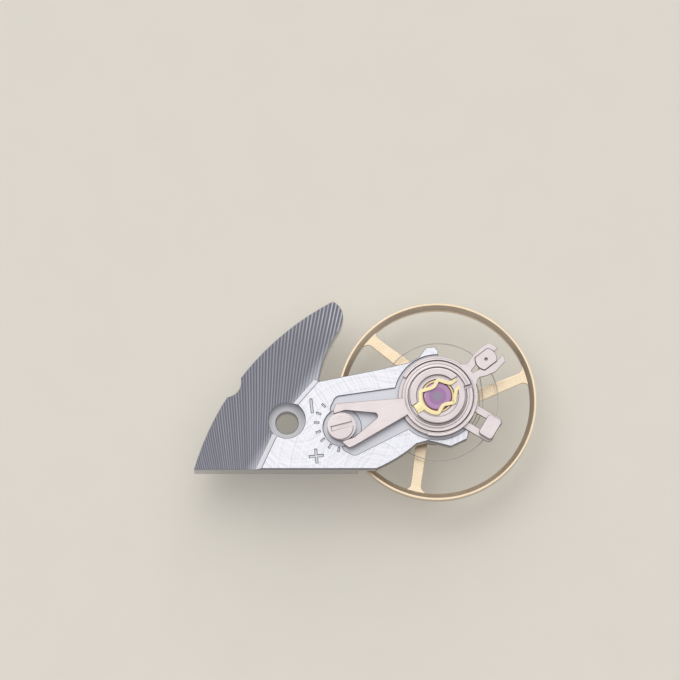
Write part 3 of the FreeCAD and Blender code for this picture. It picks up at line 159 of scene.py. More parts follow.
class Blank:
    """A solid under work, in millimetres on its own axes."""

    def __init__(self) -> None:
        """Start with nothing."""
        self.mesh = bmesh.new()

    @classmethod
    def plate(
        cls,
        outline: Sequence[Step],
        bottom: float,
        top: float,
        rounding: float = 0.0,
    ) -> Blank:
        """A flat piece cut to an outline.

        Args:
            outline: Its corners in order, as Pen.follow reads them.
            bottom: The height of its underside.
            top: The height of its upper face.
            rounding: The radius that its sharp corners get.

        Returns:
            The closed plate.
        """
        blank = cls()
        pen = Pen(blank.mesh, (outline[0][0], outline[0][1]))
        pen.follow(outline[1:])
        pen.close()
        blank.weld(ROUGH_WELD)
        if rounding:
            blank.round_corners(rounding)
        blank.fill(blank.mesh.edges)
        sheet = blank.mesh.faces[:]
        blank.lift(bmesh.ops.extrude_face_region(blank.mesh, geom=sheet), top - bottom)
        return blank.move(z=bottom)

    @classmethod
    def turned(cls, profile: Sequence[Point], steps: int = 160) -> Blank:
        """A piece turned on the lathe.

        Args:
            profile: Its closed section as (radius, height) corners.
            steps: The number of flats round it.

        Returns:
            The closed piece about its own Z axis.
        """
        blank = cls()
        pen = Pen(blank.mesh, profile[0])
        pen.follow(profile[1:])
        pen.close()
        blank.weld(FINE_WELD)
        blank.turn(90.0, "X")
        edges = blank.mesh.edges
        on_axis = [e for e in edges if all(v.co.x < FINE_WELD for v in e.verts)]
        bmesh.ops.delete(blank.mesh, geom=on_axis, context="EDGES_FACES")
        bmesh.ops.spin(
            blank.mesh,
            geom=[*blank.mesh.verts, *blank.mesh.edges],
            axis=(0.0, 0.0, 1.0),
            angle=math.tau,
            steps=steps,
            use_merge=True,
        )
        blank.weld(FINE_WELD)
        blank.face_out()
        return blank

    @classmethod
    def rod(cls, x: float, y: float, radius: float, bottom: float, top: float) -> Blank:
        """A plain upright cylinder between two heights, mostly used as a cutter."""
        blank = cls()
        bmesh.ops.create_cone(
            blank.mesh,
            cap_ends=True,
            segments=ROUND,
            radius1=radius,
            radius2=radius,
            depth=top - bottom,
        )
        return blank.move(x, y, (top + bottom) / 2)

    @classmethod
    def bar(
        cls,
        middle: Point,
        length: float,
        width: float,
        heights: Point,
        degrees: float = 0.0,
    ) -> Blank:
        """A block between two heights, turned by some degrees, mostly a cutter."""
        blank = cls()
        bmesh.ops.create_cube(blank.mesh, size=1.0)
        size = (length, width, heights[1] - heights[0])
        bmesh.ops.scale(blank.mesh, verts=blank.mesh.verts, vec=size)
        blank.turn(degrees)
        return blank.move(*middle, sum(heights) / 2)

    @classmethod
    def groove(
        cls, middle: Point, size: Point, degrees: float, floor: float, flare: float
    ) -> Blank:
        """A cutter for a shallow mark, whose walls lean out by the flare."""
        blank = cls.bar((0.0, 0.0), *size, (0.0, CLEAR))
        for vert in blank.mesh.verts:
            if vert.co.z > CLEAR / 2:
                vert.co.x += math.copysign(CLEAR * flare, vert.co.x)
                vert.co.y += math.copysign(CLEAR * flare, vert.co.y)
        return blank.turn(degrees).move(*middle, floor)

    @classmethod
    def strip(
        cls,
        start: Point,
        route: Callable[[Pen], None],
        width: float,
        height: float,
        rounding: float = 0.0,
    ) -> Blank:
        """A thin band that stands on edge along a route.

        Args:
            start: The route's first point.
            route: Draws the middle line with a pen.
            width: The band's thickness, seen from above.
            height: How high the band is.
            rounding: The radius that its sharp corners get.

        Returns:
            The closed band, with its lower edge at height zero.
        """
        blank = cls()
        pen = Pen(blank.mesh, start)
        route(pen)
        blank.weld(WELD)
        if rounding:
            blank.round_corners(rounding, 12.0)
        edges = blank.mesh.edges
        blank.lift(bmesh.ops.extrude_edge_only(blank.mesh, edges=edges), height)
        blank.bake("SOLIDIFY", thickness=width, offset=0.0, use_even_offset=True)
        blank.face_out()
        return blank

    def weld(self, reach: float) -> None:
        """Merge the corners that lie within a reach of each other."""
        bmesh.ops.remove_doubles(self.mesh, verts=self.mesh.verts, dist=reach)

    def face_out(self) -> None:
        """Turn the outside of every face outwards."""
        bmesh.ops.recalc_face_normals(self.mesh, faces=self.mesh.faces)

    def fill(self, edges: Sequence[bmesh.types.BMEdge]) -> None:
        """Close a flat loop of edges with faces."""
        bmesh.ops.triangle_fill(
            self.mesh, edges=edges, use_beauty=True, use_dissolve=True
        )

    def lift(self, made: dict[str, Any], height: float) -> None:
        """Raise what an extrusion made by a height."""
        raised = corners_of(made["geom"])
        bmesh.ops.translate(self.mesh, verts=raised, vec=(0.0, 0.0, height))
        self.face_out()

    def round_corners(self, radius: float, sharp: float = 25.0) -> None:
        """Round the outline's own corners while it is still a wire.

        Args:
            radius: The corner's offset along each edge.
            sharp: Only corners that turn more than this are rounded, in degrees.
        """
        corners = []
        for vert in self.mesh.verts:
            if len(vert.link_edges) != 2:
                continue
            arms = [e.other_vert(vert).co - vert.co for e in vert.link_edges]
            if math.degrees(math.pi - arms[0].angle(arms[1])) > sharp:
                corners.append(vert)
        bmesh.ops.bevel(
            self.mesh,
            geom=corners,
            affect="VERTICES",
            offset=radius,
            offset_type="OFFSET",
            segments=8,
            profile=0.5,
            material=-1,
            clamp_overlap=True,
        )

    def move(self, x: float = 0.0, y: float = 0.0, z: float = 0.0) -> Blank:
        """Shift the blank and return it."""
        bmesh.ops.translate(self.mesh, verts=self.mesh.verts, vec=(x, y, z))
        return self

    def turn(self, degrees: float, axis: str = "Z") -> Blank:
        """Turn the blank about an axis through its origin and return it."""
        matrix = Matrix.Rotation(math.radians(degrees), 3, axis)
        bmesh.ops.rotate(self.mesh, verts=self.mesh.verts, matrix=matrix)
        return self

    def slice(self, point: Sequence[float], normal: Sequence[float]) -> Blank:
        """Cut off what lies in front of a plane and close the cut.

        Args:
            point: A point of the plane.
            normal: Points at the side that falls away.

        Returns:
            The blank itself.
        """
        bmesh.ops.bisect_plane(
            self.mesh,
            geom=[*self.mesh.verts, *self.mesh.edges, *self.mesh.faces],
            dist=FINE_WELD,
            plane_co=point,
            plane_no=normal,
            clear_outer=True,
        )
        self.fill([e for e in self.mesh.edges if e.is_boundary])
        self.face_out()
        return self

    def bake(self, kind: str, **settings: Any) -> None:
        """Run one modifier over the blank and keep what it makes."""
        held = self.hold()
        modifier = held.modifiers.new(kind, kind)
        for key, value in settings.items():
            setattr(modifier, key, value)
        graph = bpy.context.evaluated_depsgraph_get()
        made = bpy.data.meshes.new_from_object(held.evaluated_get(graph))
        self.mesh.clear()
        self.mesh.from_mesh(made)
        bpy.data.meshes.remove(made)
        drop(held)

    def hold(self) -> bpy.types.Object:
        """Put the blank in the scene for a moment, as an object."""
        mesh = bpy.data.meshes.new("held")
        self.mesh.to_mesh(mesh)
        return stand("held", mesh)

    def combine(self, other: Blank, operation: str) -> Blank:
        """Use up another blank in a UNION or a DIFFERENCE and return this one."""
        tool = other.hold()
        self.bake("BOOLEAN", object=tool, operation=operation, solver="EXACT")
        drop(tool)
        other.mesh.free()
        self.weld(WELD)
        return self

    def cut(self, *tools: Blank) -> Blank:
        """Cut each tool's shape away and return the blank."""
        for tool in tools:
            self.combine(tool, "DIFFERENCE")
        return self

    def join(self, *others: Blank) -> Blank:
        """Fuse each of the others to the blank and return it."""
        for other in others:
            self.combine(other, "UNION")
        return self

    def soften(
        self,
        width: float,
        segments: int = 2,
        sharp: float = 35.0,
        where: Optional[Callable[[bmesh.types.BMEdge], bool]] = None,
    ) -> Blank:
        """Break the sharp outer edges with a small rounded chamfer.

        Args:
            width: The chamfer's width.
            segments: The number of facets across it.
            sharp: Only edges that fold more than this, in degrees.
            where: Picks among those edges.

        Returns:
            The blank itself.
        """
        bmesh.ops.dissolve_limit(
            self.mesh,
            angle_limit=math.radians(0.2),
            verts=self.mesh.verts,
            edges=self.mesh.edges,
            delimit=set(),
        )
        edges = [
            e
            for e in self.mesh.edges
            if len(e.link_faces) == 2
            and e.is_convex
            and e.calc_face_angle(0.0) > math.radians(sharp)
            and (where is None or where(e))
        ]
        bmesh.ops.bevel(
            self.mesh,
            geom=edges,
            affect="EDGES",
            offset=width,
            offset_type="OFFSET",
            segments=segments,
            profile=0.5,
            material=-1,
            clamp_overlap=False,
        )
        return self


def drop(held: bpy.types.Object) -> None:
    """Take a held object and its mesh out of the file."""
    mesh = held.data
    bpy.data.objects.remove(held)
    bpy.data.meshes.remove(mesh)


# Materials


class Wire:
    """A number or vector on its way through a material."""

    def __init__(self, bench: Bench, socket: bpy.types.NodeSocket) -> None:
        """Hold a node's output on the bench of its material."""
        self.bench = bench
        self.socket = socket

    def math(self, operation: str, *values: Value) -> Wire:
        """Add a Math node of some operation on this value and others."""
        operands = dict(enumerate((self, *values)))
        return self.bench.node("ShaderNodeMath", {"operation": operation}, operands)

    def __add__(self, other: Value) -> Wire:
        """Add."""
        return self.math("ADD", other)

    __radd__ = __add__

    def __sub__(self, other: Value) -> Wire:
        """Take away."""
        return self.math("SUBTRACT", other)

    def __rsub__(self, other: Value) -> Wire:
        """Take this away from a number."""
        return self * -1.0 + other

    def __mul__(self, other: Value) -> Wire:
        """Multiply."""
        return self.math("MULTIPLY", other)

    __rmul__ = __mul__

    def __truediv__(self, other: Value) -> Wire:
        """Divide."""
        return self.math("DIVIDE", other)

    def __pow__(self, other: Value) -> Wire:
        """Raise to a power."""
        return self.math("POWER", other)

    def over(self, low: float, high: float) -> Wire:
        """Zero below one value, one above another, and smooth between."""
        return self.bench.node(
            "ShaderNodeMapRange",
            {"interpolation_type": "SMOOTHSTEP"},
            {"Value": self, "From Min": low, "From Max": high},
        )


Value = Union[Wire, float, Sequence[float]]


class Bench:
    """One material's nodes, on coordinates in millimetres."""

    def __init__(self, name: str) -> None:
        """Start an empty material of some name."""
        self.material = bpy.data.materials.new(name)
        self.material.use_nodes = True
        self.tree = self.material.node_tree
        self.tree.nodes.clear()
        place = self.node("ShaderNodeTexCoord", output="Object")
        self.place = self.node(
            "ShaderNodeVectorMath",
            {"operation": "SCALE"},
            {"Vector": place, "Scale": 1 / MM},
        )

    def node(
        self,
        kind: str,
        settings: Optional[dict[str, Any]] = None,
        inputs: Optional[dict[Union[str, int], Value]] = None,
        output: Union[str, int] = 0,
    ) -> Wire:
        """Add a node.

        Args:
            kind: Its type.
            settings: What is set on it first.
            inputs: Values or wires for its sockets.
            output: The socket that is handed on.

        Returns:
            The chosen output.
        """
        node = self.tree.nodes.new(kind)
        for key, value in (settings or {}).items():
            setattr(node, key, value)
        for key, value in (inputs or {}).items():
            if isinstance(value, Wire):
                self.tree.links.new(value.socket, node.inputs[key])
            else:
                node.inputs[key].default_value = value
        return Wire(self, node.outputs[output])

    def axes(self, vector: Wire) -> tuple[Wire, Wire, Wire]:
        """Split a vector into its X, Y and Z."""
        split = self.node("ShaderNodeSeparateXYZ", inputs={0: vector})
        outputs = split.socket.node.outputs
        return tuple(Wire(self, outputs[n]) for n in range(3))

    def vector(self, x: Value, y: Value, z: Value) -> Wire:
        """Put three values together."""
        return self.node("ShaderNodeCombineXYZ", inputs={0: x, 1: y, 2: z})

    def about(self, centre: Point, degrees: float = 0.0) -> Wire:
        """The place measured from a centre, on axes turned by some degrees."""
        turn = (0.0, 0.0, math.radians(degrees))
        return self.node(
            "ShaderNodeMapping",
            {"vector_type": "TEXTURE"},
            {"Vector": self.place, "Location": (*centre, 0.0), "Rotation": turn},
        )

    def radius(self, centre: Point) -> Wire:
        """The distance from an upright axis through a centre."""
        x, y, _ = self.axes(self.about(centre))
        return (x * x + y * y) ** 0.5

    def slope(self) -> Wire:
        """Nought on upright walls and steep bevels, one on level faces."""
        facing = self.node("ShaderNodeNewGeometry", output="Normal")
        _, _, up = self.axes(facing)
        return up.math("ABSOLUTE").over(0.6, 0.97)

    def noise(self, vector: Wire, scale: float, detail: float = 3.0) -> Wire:
        """Smooth random values from nought to one."""
        inputs = {"Vector": vector, "Scale": scale, "Detail": detail}
        return self.node("ShaderNodeTexNoise", inputs=inputs)

    def blend(self, factor: Value, first: Value, second: Value) -> Wire:
        """Mix two colours: nought gives the first and one the second."""
        inputs = {0: factor, 6: paint(first), 7: paint(second)}
        settings = {"data_type": "RGBA", "clamp_factor": True}
        return self.node("ShaderNodeMix", settings, inputs, 2)

    def bump(self, height: Wire, microns: float) -> Wire:
        """Turn a height from nought to one into a relief of some microns."""
        inputs = {"Height": height, "Distance": microns * 1e-6}
        return self.node("ShaderNodeBump", inputs=inputs)

    def surface(self, **sockets: Value) -> bpy.types.Material:
        """Finish the material with a Principled shader and the values it is given."""
        inputs = {key.replace("_", " "): paint(value) for key, value in sockets.items()}
        shader = self.node("ShaderNodeBsdfPrincipled", inputs=inputs)
        end = self.tree.nodes.new("ShaderNodeOutputMaterial")
        self.tree.links.new(shader.socket, end.inputs["Surface"])
        return self.material


def paint(value: Value) -> Value:
    """Give a plain colour its alpha, and pass anything else on."""
    if isinstance(value, tuple) and len(value) == 3:
        return (*value, 1.0)
    return value


class Tooling(Enum):
    """The marks that a tool left on a surface."""

    TUMBLED = "tumbled"
    BRUSHED = "brushed"
    TURNED = "turned"


@dataclass(frozen=True)
class Metal:
    """A metal finish with the marks of its last tool, and painted shade on its steep
    walls and bevels.
    """

    name: str
    slot: str
    colour: Colour
    shade: Colour
    roughness: float
    tooling: Tooling
    pitch: float = 0.03
    depth: float = 0.6
    metallic: float = 1.0
    centre: Point = (0.0, 0.0)
    degrees: float = 0.0
    # wall_shade scales the shade colour on steep walls and bevels: painted shade
    wall_shade: Colour = (0.45, 0.45, 0.45)
    wall_grain: float = 0.0
    brushed_drag: float = 0.04
    turned_drag: float = 0.05
    cloud_scale: float = 0.9
    marks_share: float = 0.55
    marks_grain: float = 0.12
    cloud_grain: float = 0.06

    def marks(self, bench: Bench) -> Wire:
        """The height of the tool's marks, from nought to one."""
        local = bench.about(self.centre, self.degrees)
        x, y, z = bench.axes(local)
        if self.tooling is Tooling.TURNED:
            x, y = (x * x + y * y) ** 0.5, y * self.turned_drag
        elif self.tooling is Tooling.BRUSHED:
            x = x * self.brushed_drag
        return bench.noise(bench.vector(x, y, z), 1 / self.pitch)

    def make(self) -> bpy.types.Material:
        """Build the material."""
        bench = Bench(self.name)
        marks = self.marks(bench)
        cloud = bench.noise(bench.place, self.cloud_scale, 2.0)
        tone = marks.over(0.3, 0.7) * self.marks_share
        tone = tone + cloud.over(0.35, 0.65) * (1.0 - self.marks_share)
        face = bench.blend(tone, self.shade, self.colour)
        # Painted shade: steep walls and bevels get the shade colour times wall_shade,
        # blended in by the slope mask
        wall_shade = tuple(c * w for c, w in zip(self.shade, self.wall_shade))
        middle = (self.marks_grain + self.cloud_grain) / 2
        grain = marks * self.marks_grain + cloud * self.cloud_grain
        grain = grain + (self.roughness - middle)
        flat = bench.slope()
        return bench.surface(
            Base_Color=bench.blend(flat, wall_shade, face),
            Metallic=self.metallic,
            Roughness=grain + (1.0 - flat) * self.wall_grain,
            Normal=bench.bump(marks, self.depth),
        )


@dataclass(frozen=True)
class CockPlating:
    """Bright plating: fly-cut stripes on the foot and milling arcs on the deck, with
    painted light and shade on its edges, walls and step.
    """

    name: str = "cock plating"
    slot: str = "plated_cock"
    foot_dark: Colour = (0.15, 0.15, 0.175)
    foot_light: Colour = (0.38, 0.38, 0.425)
    deck: Colour = (0.86, 0.86, 0.89)
    deck_shade: Colour = (0.73, 0.73, 0.775)
    sunk: Colour = (0.66, 0.66, 0.7)
    # Painted highlight on the step's bevel
    step_highlight: Colour = (0.97, 0.97, 1.0)
    # Painted shade along the deck's top edge and round the engraved marks
    outline: Colour = (0.22, 0.22, 0.25)
    # Painted glint on the fly-cut lines near the foot's tip
    streak: Colour = (0.9, 0.9, 0.93)
    # Painted shade on the deck's and pockets' walls
    wall_shade: Colour = (0.3, 0.3, 0.33)
    bore: Colour = (0.55, 0.55, 0.57)
    fan_centre: Point = (-1.6, -13.0)
    fan_lines: float = 104.0
    fan_streaks: float = 141.581
    arc_centres: tuple[Point, ...] = ((0.6, 0.4), (5.2, 3.4), (4.4, -2.6))
    relief: float = 5.0
    foot_level: float = 1.5
    deck_level: float = 2.0
    step: tuple[Point, Point] = ((1.39, 2.13), (-1.56, -2.46))

    def stripes(self, bench: Bench) -> Wire:
        """The fly-cutter's lines fanning over the foot, from nought to one."""
        x, y, _ = bench.axes(bench.about(self.fan_centre))
        wobble = bench.noise(bench.place, 0.5, 2.0) * 2.2
        angle = (x / y).math("ARCTANGENT")
        phase = angle * (self.fan_lines * math.tau) + wobble
        wave = phase.math("SINE") * 0.5 + 0.5
        streak = bench.vector(angle * self.fan_streaks, 0.0, 0.0)
        uneven = bench.noise(streak, 1.0, 2.0)
        return wave * (uneven * 0.9 + 0.35)

    def arcs(self, bench: Bench) -> Wire:
        """Faint arcs that the end mill left round the screw, ring and fork."""
        waves = [
            bench.noise(bench.vector(bench.radius(centre), 0.0, 0.0), 7.0)
            for centre in self.arc_centres
        ]
        return sum(waves[1:], waves[0]) / float(len(waves))

    def step_reflection(self, bench: Bench) -> Wire:
        """One at the foot of the deck's step, falling to nought away from it: the mask
        of a painted reflection on the foot.
        """
        (x, y), (u, v) = self.step
        along = math.degrees(math.atan2(y - v, x - u))
        _, away, _ = bench.axes(bench.about((x, y), along))
        return (away * -1.0).over(-0.6, 0.1)

    def make(self) -> bpy.types.Material:
        """Build the material."""
        bench = Bench(self.name)
        base, top = self.foot_level, self.deck_level
        _, y, z = bench.axes(bench.place)
        on_foot = (z - base).math("ABSOLUTE").over(0.03, 0.02)
        on_deck = z.over(top - 0.03, top - 0.015)
        high = z.over(base + 0.03, base + 0.05)
        stripes, arcs = self.stripes(bench), self.arcs(bench)
        cloud = bench.noise(bench.place, 1.2)
        foot = bench.blend(stripes**2.0, self.foot_dark, self.foot_light)
        # Painted highlight: the real stripes whiten towards the foot's tip
        foot = bench.blend(stripes**5.0 * y.over(3.6, 5.6), foot, self.streak)
        # Painted reflection: the foot lightens towards the deck's step, as if it
        # mirrored the bright bevel
        foot = bench.blend(self.step_reflection(bench) * 0.4, foot, self.deck_shade)
        deck = bench.blend(arcs.over(0.42, 0.55), self.deck_shade, self.deck)
        level = bench.blend(on_deck, self.sunk, deck)
        level = bench.blend(high, self.bore, level)
        level = bench.blend(on_foot, level, foot)
        facing = bench.node("ShaderNodeNewGeometry", output="Normal")
        along, across, up = bench.axes(facing)
        # Painted highlight: the step's bevel faces, picked by the way their normal
        # points, get the bright step colour and less metallic
        bevel = (across - along).over(0.9, 1.1) * up.over(0.2, 0.35) * high
        # Painted shade: the upper walls take the dark wall colour, the lower walls the
        # bore colour
        wall_shade = bench.blend(high, self.bore, self.wall_shade)
        wall_shade = bench.blend(bevel, wall_shade, self.step_highlight)
        # Painted shade: a dark band just under the deck's top, on its chamfer and the
        # walls of the engraved marks
        lip_shade = z.over(top - 0.035, top - 0.025) * z.over(top - 0.001, top - 0.006)
        wall_shade = bench.blend(lip_shade, wall_shade, self.outline)
        level = bench.blend(lip_shade, level, self.outline)
        height = stripes * on_foot + arcs * high * 0.12
        return bench.surface(
            Base_Color=bench.blend(bench.slope(), wall_shade, level),
            Metallic=bevel * -0.7 + 0.8,
            Roughness=high * 0.1 + cloud * 0.1 + 0.25,
            Normal=bench.bump(height, self.relief),
        )


@dataclass(frozen=True)
class Ruby:
    """Synthetic ruby, with a painted highlight towards its rim and painted shade in its
    middle.
    """

    name: str
    body: Colour
    edge: Colour
    heart_shade: Colour
    slot: str = "ruby"

    def make(self) -> bpy.types.Material:
        """Build the material."""
        bench = Bench(self.name)
        reach = bench.radius(STAFF) + bench.noise(bench.place, 3.0) * 0.03
        # Painted light: the paler rim is a painted highlight and the darker heart
        # painted shade, not zones in the stone
        rim = bench.blend(reach.over(0.42, 0.5), self.body, self.edge)
        colour = bench.blend(reach.over(0.2, 0.3), self.heart_shade, rim)
        streaks = bench.noise(bench.place, 14.0)
        return bench.surface(
            Base_Color=colour,
            Roughness=streaks * 0.08 + 0.06,
            IOR=1.76,
            Transmission_Weight=0.15,
            Coat_Weight=0.6,
            Coat_Roughness=0.04,
            Normal=bench.bump(streaks, 0.3),
        )


SATIN = Metal(
    "satin steel", "satin_steel", (0.83, 0.745, 0.735), (0.72, 0.64, 0.635), 0.36,
    Tooling.BRUSHED, pitch=0.025, depth=0.5, metallic=0.8, degrees=20.0,
)
SATIN_RING = Metal(
    "satin steel ring", "satin_steel", (0.8, 0.72, 0.71), (0.7, 0.62, 0.615), 0.34,
    Tooling.TURNED, pitch=0.03, depth=0.5, metallic=0.8, centre=STAFF,
)
POLISHED = Metal(
    "polished steel", "polished_steel", (0.78, 0.78, 0.8), (0.66, 0.66, 0.69), 0.16,
    Tooling.TURNED, pitch=0.02, depth=0.2, centre=STAFF,
)
COIL = Metal(
    "spring alloy", "spring_alloy", (0.5, 0.47, 0.42), (0.42, 0.39, 0.35), 0.35,
    Tooling.TUMBLED, pitch=0.05, depth=0.2,
)
# The gilt wheel's wall_shade tint paints a taupe reflection on the rim's inner bevel,
# on top of painted shade
GILT = Metal(
    "gilt wheel", "gilt_wheel", (1.0, 0.84, 0.6), (0.95, 0.76, 0.52), 0.26,
    Tooling.TURNED, pitch=0.04, depth=0.4, metallic=0.9, centre=STAFF,
    wall_shade=(0.8, 0.84, 0.98), wall_grain=0.15,
)
GILT_SPRING = Metal(
    "gilt spring", "gilt_spring", (1.0, 0.88, 0.52), (0.94, 0.78, 0.42), 0.26,
    Tooling.BRUSHED, pitch=0.03, depth=0.3, metallic=0.85, degrees=LYRE_ANGLE,
)
BRASS = Metal(
    "turned brass", "turned_brass", (0.88, 0.7, 0.42), (0.75, 0.56, 0.3), 0.25,
    Tooling.TURNED, pitch=0.02, depth=0.4, centre=STAFF,
)
CAP_RUBY = Ruby("end stone", (0.44, 0.2, 0.45), (0.58, 0.3, 0.56), (0.35, 0.28, 0.4))
DEEP_RUBY = Ruby("deep ruby", (0.45, 0.06, 0.2), (0.5, 0.1, 0.25), (0.4, 0.05, 0.18))

Finish = Union[Metal, CockPlating, Ruby]


@dataclass
class Shop:
    """Turns finished blanks into pieces of the model and keeps their materials."""

    materials: dict[str, bpy.types.Material] = field(default_factory=dict)
    crease: float = 14.0

    def material(self, finish: Finish) -> bpy.types.Material:
        """The material of a finish, made when it is first asked for."""
        if finish.name not in self.materials:
            self.materials[finish.name] = finish.make()
        return self.materials[finish.name]

    def deliver(
        self, blank: Blank, name: str, body: str, finish: Finish, node: str
    ) -> None:
        """Make a piece from a blank and set it on its body.

        Args:
            blank: The shape in millimetres, used up by the work.
            name: The piece's name.
            body: The body that it rides on.
            finish: Its finish.
            node: The CAD node that it stands for.
        """
        blank.weld(FINE_WELD)
        work = blank.mesh
        bmesh.ops.scale(work, verts=work.verts, vec=(MM, MM, MM))
        for face in work.faces:
            face.smooth = True
        for edge in work.edges:
            edge.smooth = edge.calc_face_angle(math.pi) < math.radians(self.crease)
        mesh = bpy.data.meshes.new(name)
        work.to_mesh(mesh)
        work.free()
        piece = stand(name, mesh)
        mesh.materials.append(self.material(finish))
        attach(piece, body)
        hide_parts(node)
        log.info("%s: %d faces, rides on %s", name, len(mesh.polygons), body)


# The cock


@dataclass
class Cock:
    """The cock with its foot, raised deck, pockets and scale, and its pins."""

    foot_top: float = 1.5
    deck_bottom: float = 1.15
    deck_top: float = 2.0
    pocket_floor: float = 1.9
    cam_floor: float = 1.85
    mark_depth: float = 0.04
    mark_flare: float = 0.9
    marks_middle: Point = (2.83, -0.17)
    tick: Point = (0.19, 0.05)
    ticks: int = 7
    minus: Point = (1.24, 0.71)
    plus: Point = (1.48, -1.82)
    stroke: Point = (0.68, 0.08)
    step_width: float = 0.26
    step_drop: float = 0.46
    screw_seat: float = 0.95
    edge: float = 0.03
    pins: tuple[Point, Point] = ((1.25, 4.2), (-3.1, -1.5))
    foot: tuple[Step, ...] = (
        (-4.663, -2.46), (3.592, -2.46), (2.249, 1.941, -5.35), (1.576, 2.041),
        (2.541, 4.522, -6.03), (2.82, 5.36, 1.6), (2.292, 6.096, 0.85),
        (-4.663, -2.46, 14.0),
    )

    def mark(self, middle: Point, size: Point, degrees: float) -> Blank:
        """A cutter for one straight mark in the deck."""
        floor = self.deck_top - self.mark_depth
        return Blank.groove(middle, size, degrees, floor, self.mark_flare)

    def marks(self) -> list[Blank]:
        """Cutters for the ticks, the minus sign and the plus sign."""
        cutters = []
        for number in range(self.ticks):
            degrees = 137.7 + 20.4 * number
            middle = polar(1.33, degrees, self.marks_middle)
            cutters.append(self.mark(middle, self.tick, degrees))
        cross = self.mark(self.plus, self.stroke, 6.0)
        cross.join(self.mark(self.plus, self.stroke, 96.0))
        return [*cutters, self.mark(self.minus, self.stroke, 96.0), cross]

    def bevelled_deck(self) -> Blank:
        """The raised deck, with the long bevels where it drops to the foot."""
        outline = (
            (-1.56, -2.46), (4.48, -2.46), (6.495, -1.198, 7.5), (7.074, -1.041),
            (8.205, -1.332), (9.014, -0.955), (9.112, -0.596), (8.845, -0.299),
            (7.574, 3.1, 1.95), (7.581, 3.5), (7.405, 3.716), (6.962, 3.654),
            (6.629, 3.196), (6.161, 2.915), (4.49, 2.53), (1.6, 1.95),
            (1.39, 2.13), (0.14, 0.69), (-0.62, -0.43),
        )
        deck = Blank.plate(outline, self.deck_bottom, self.deck_top)
        for a, b in (((1.39, 2.13), (0.14, 0.69)), ((-0.62, -0.43), (-1.56, -2.46))):
            along = (Vector(b) - Vector(a)).normalized()
            out = Vector((along.y, -along.x))
            point = (*(Vector(a) - out * self.step_width), self.deck_top)
            deck.slice(point, (*(out * self.step_drop), self.step_width))
        return deck

    def cutters(self) -> list[Blank]:
        """The screw's stepped hole, the bores and the sunk fields."""
        top = self.deck_top + CLEAR
        low = self.deck_bottom - CLEAR
        fork = (
            (6.692, -0.147), (3.401, -1.81), (2.821, -1.501), (2.155, 0.596),
            (2.452, 1.183), (6.1, 1.721),
        )
        return [
            Blank.rod(-3.07, 2.011, 0.77, -CLEAR, top),
            Blank.rod(0.0, 0.0, 0.92, self.screw_seat, top),
            Blank.rod(0.0, 0.0, 0.56, -CLEAR, top),
            Blank.rod(*STAFF, 2.15, self.pocket_floor, top),
            Blank.plate(fork, self.pocket_floor, top, rounding=0.16),
            Blank.rod(2.769, -0.363, 0.95, self.cam_floor, top),
            Blank.rod(*ECCENTRIC, 0.31, low, top),
            Blank.rod(*STAFF, 1.2, low, top),
        ]

    def build(self, shop: Shop) -> None:
        """Make the cock and its two steady pins."""
        body = Blank.plate(self.foot, 0.0, self.foot_top)
        body.join(self.bevelled_deck())
        body.cut(*self.cutters())
        body.cut(*self.marks())
        body.soften(self.edge, 1, where=self.is_outer)
        shop.deliver(body, "machined_cock", "cock", CockPlating(), "balance_cock")
        for node, (x, y) in zip(("steady_pin_tip", "steady_pin_corner"), self.pins):
            profile = (
                (0.0, -0.55), (0.17, -0.55), (0.22, -0.53), (0.25, -0.47),
                (0.25, 0.0), (0.23, 0.59), (0.0, 0.59),
            )
            pin = Blank.turned(profile, 64).move(x, y)
            shop.deliver(pin, node + "_turned", "cock", POLISHED, node)

    def is_outer(self, edge: bmesh.types.BMEdge) -> bool:
        """Whether an edge gets a chamfer: any but those of the shallow marks."""
        corners = [v.co.z for face in edge.link_faces for v in face.verts]
        return min(corners) < self.deck_top - 1.5 * self.mark_depth


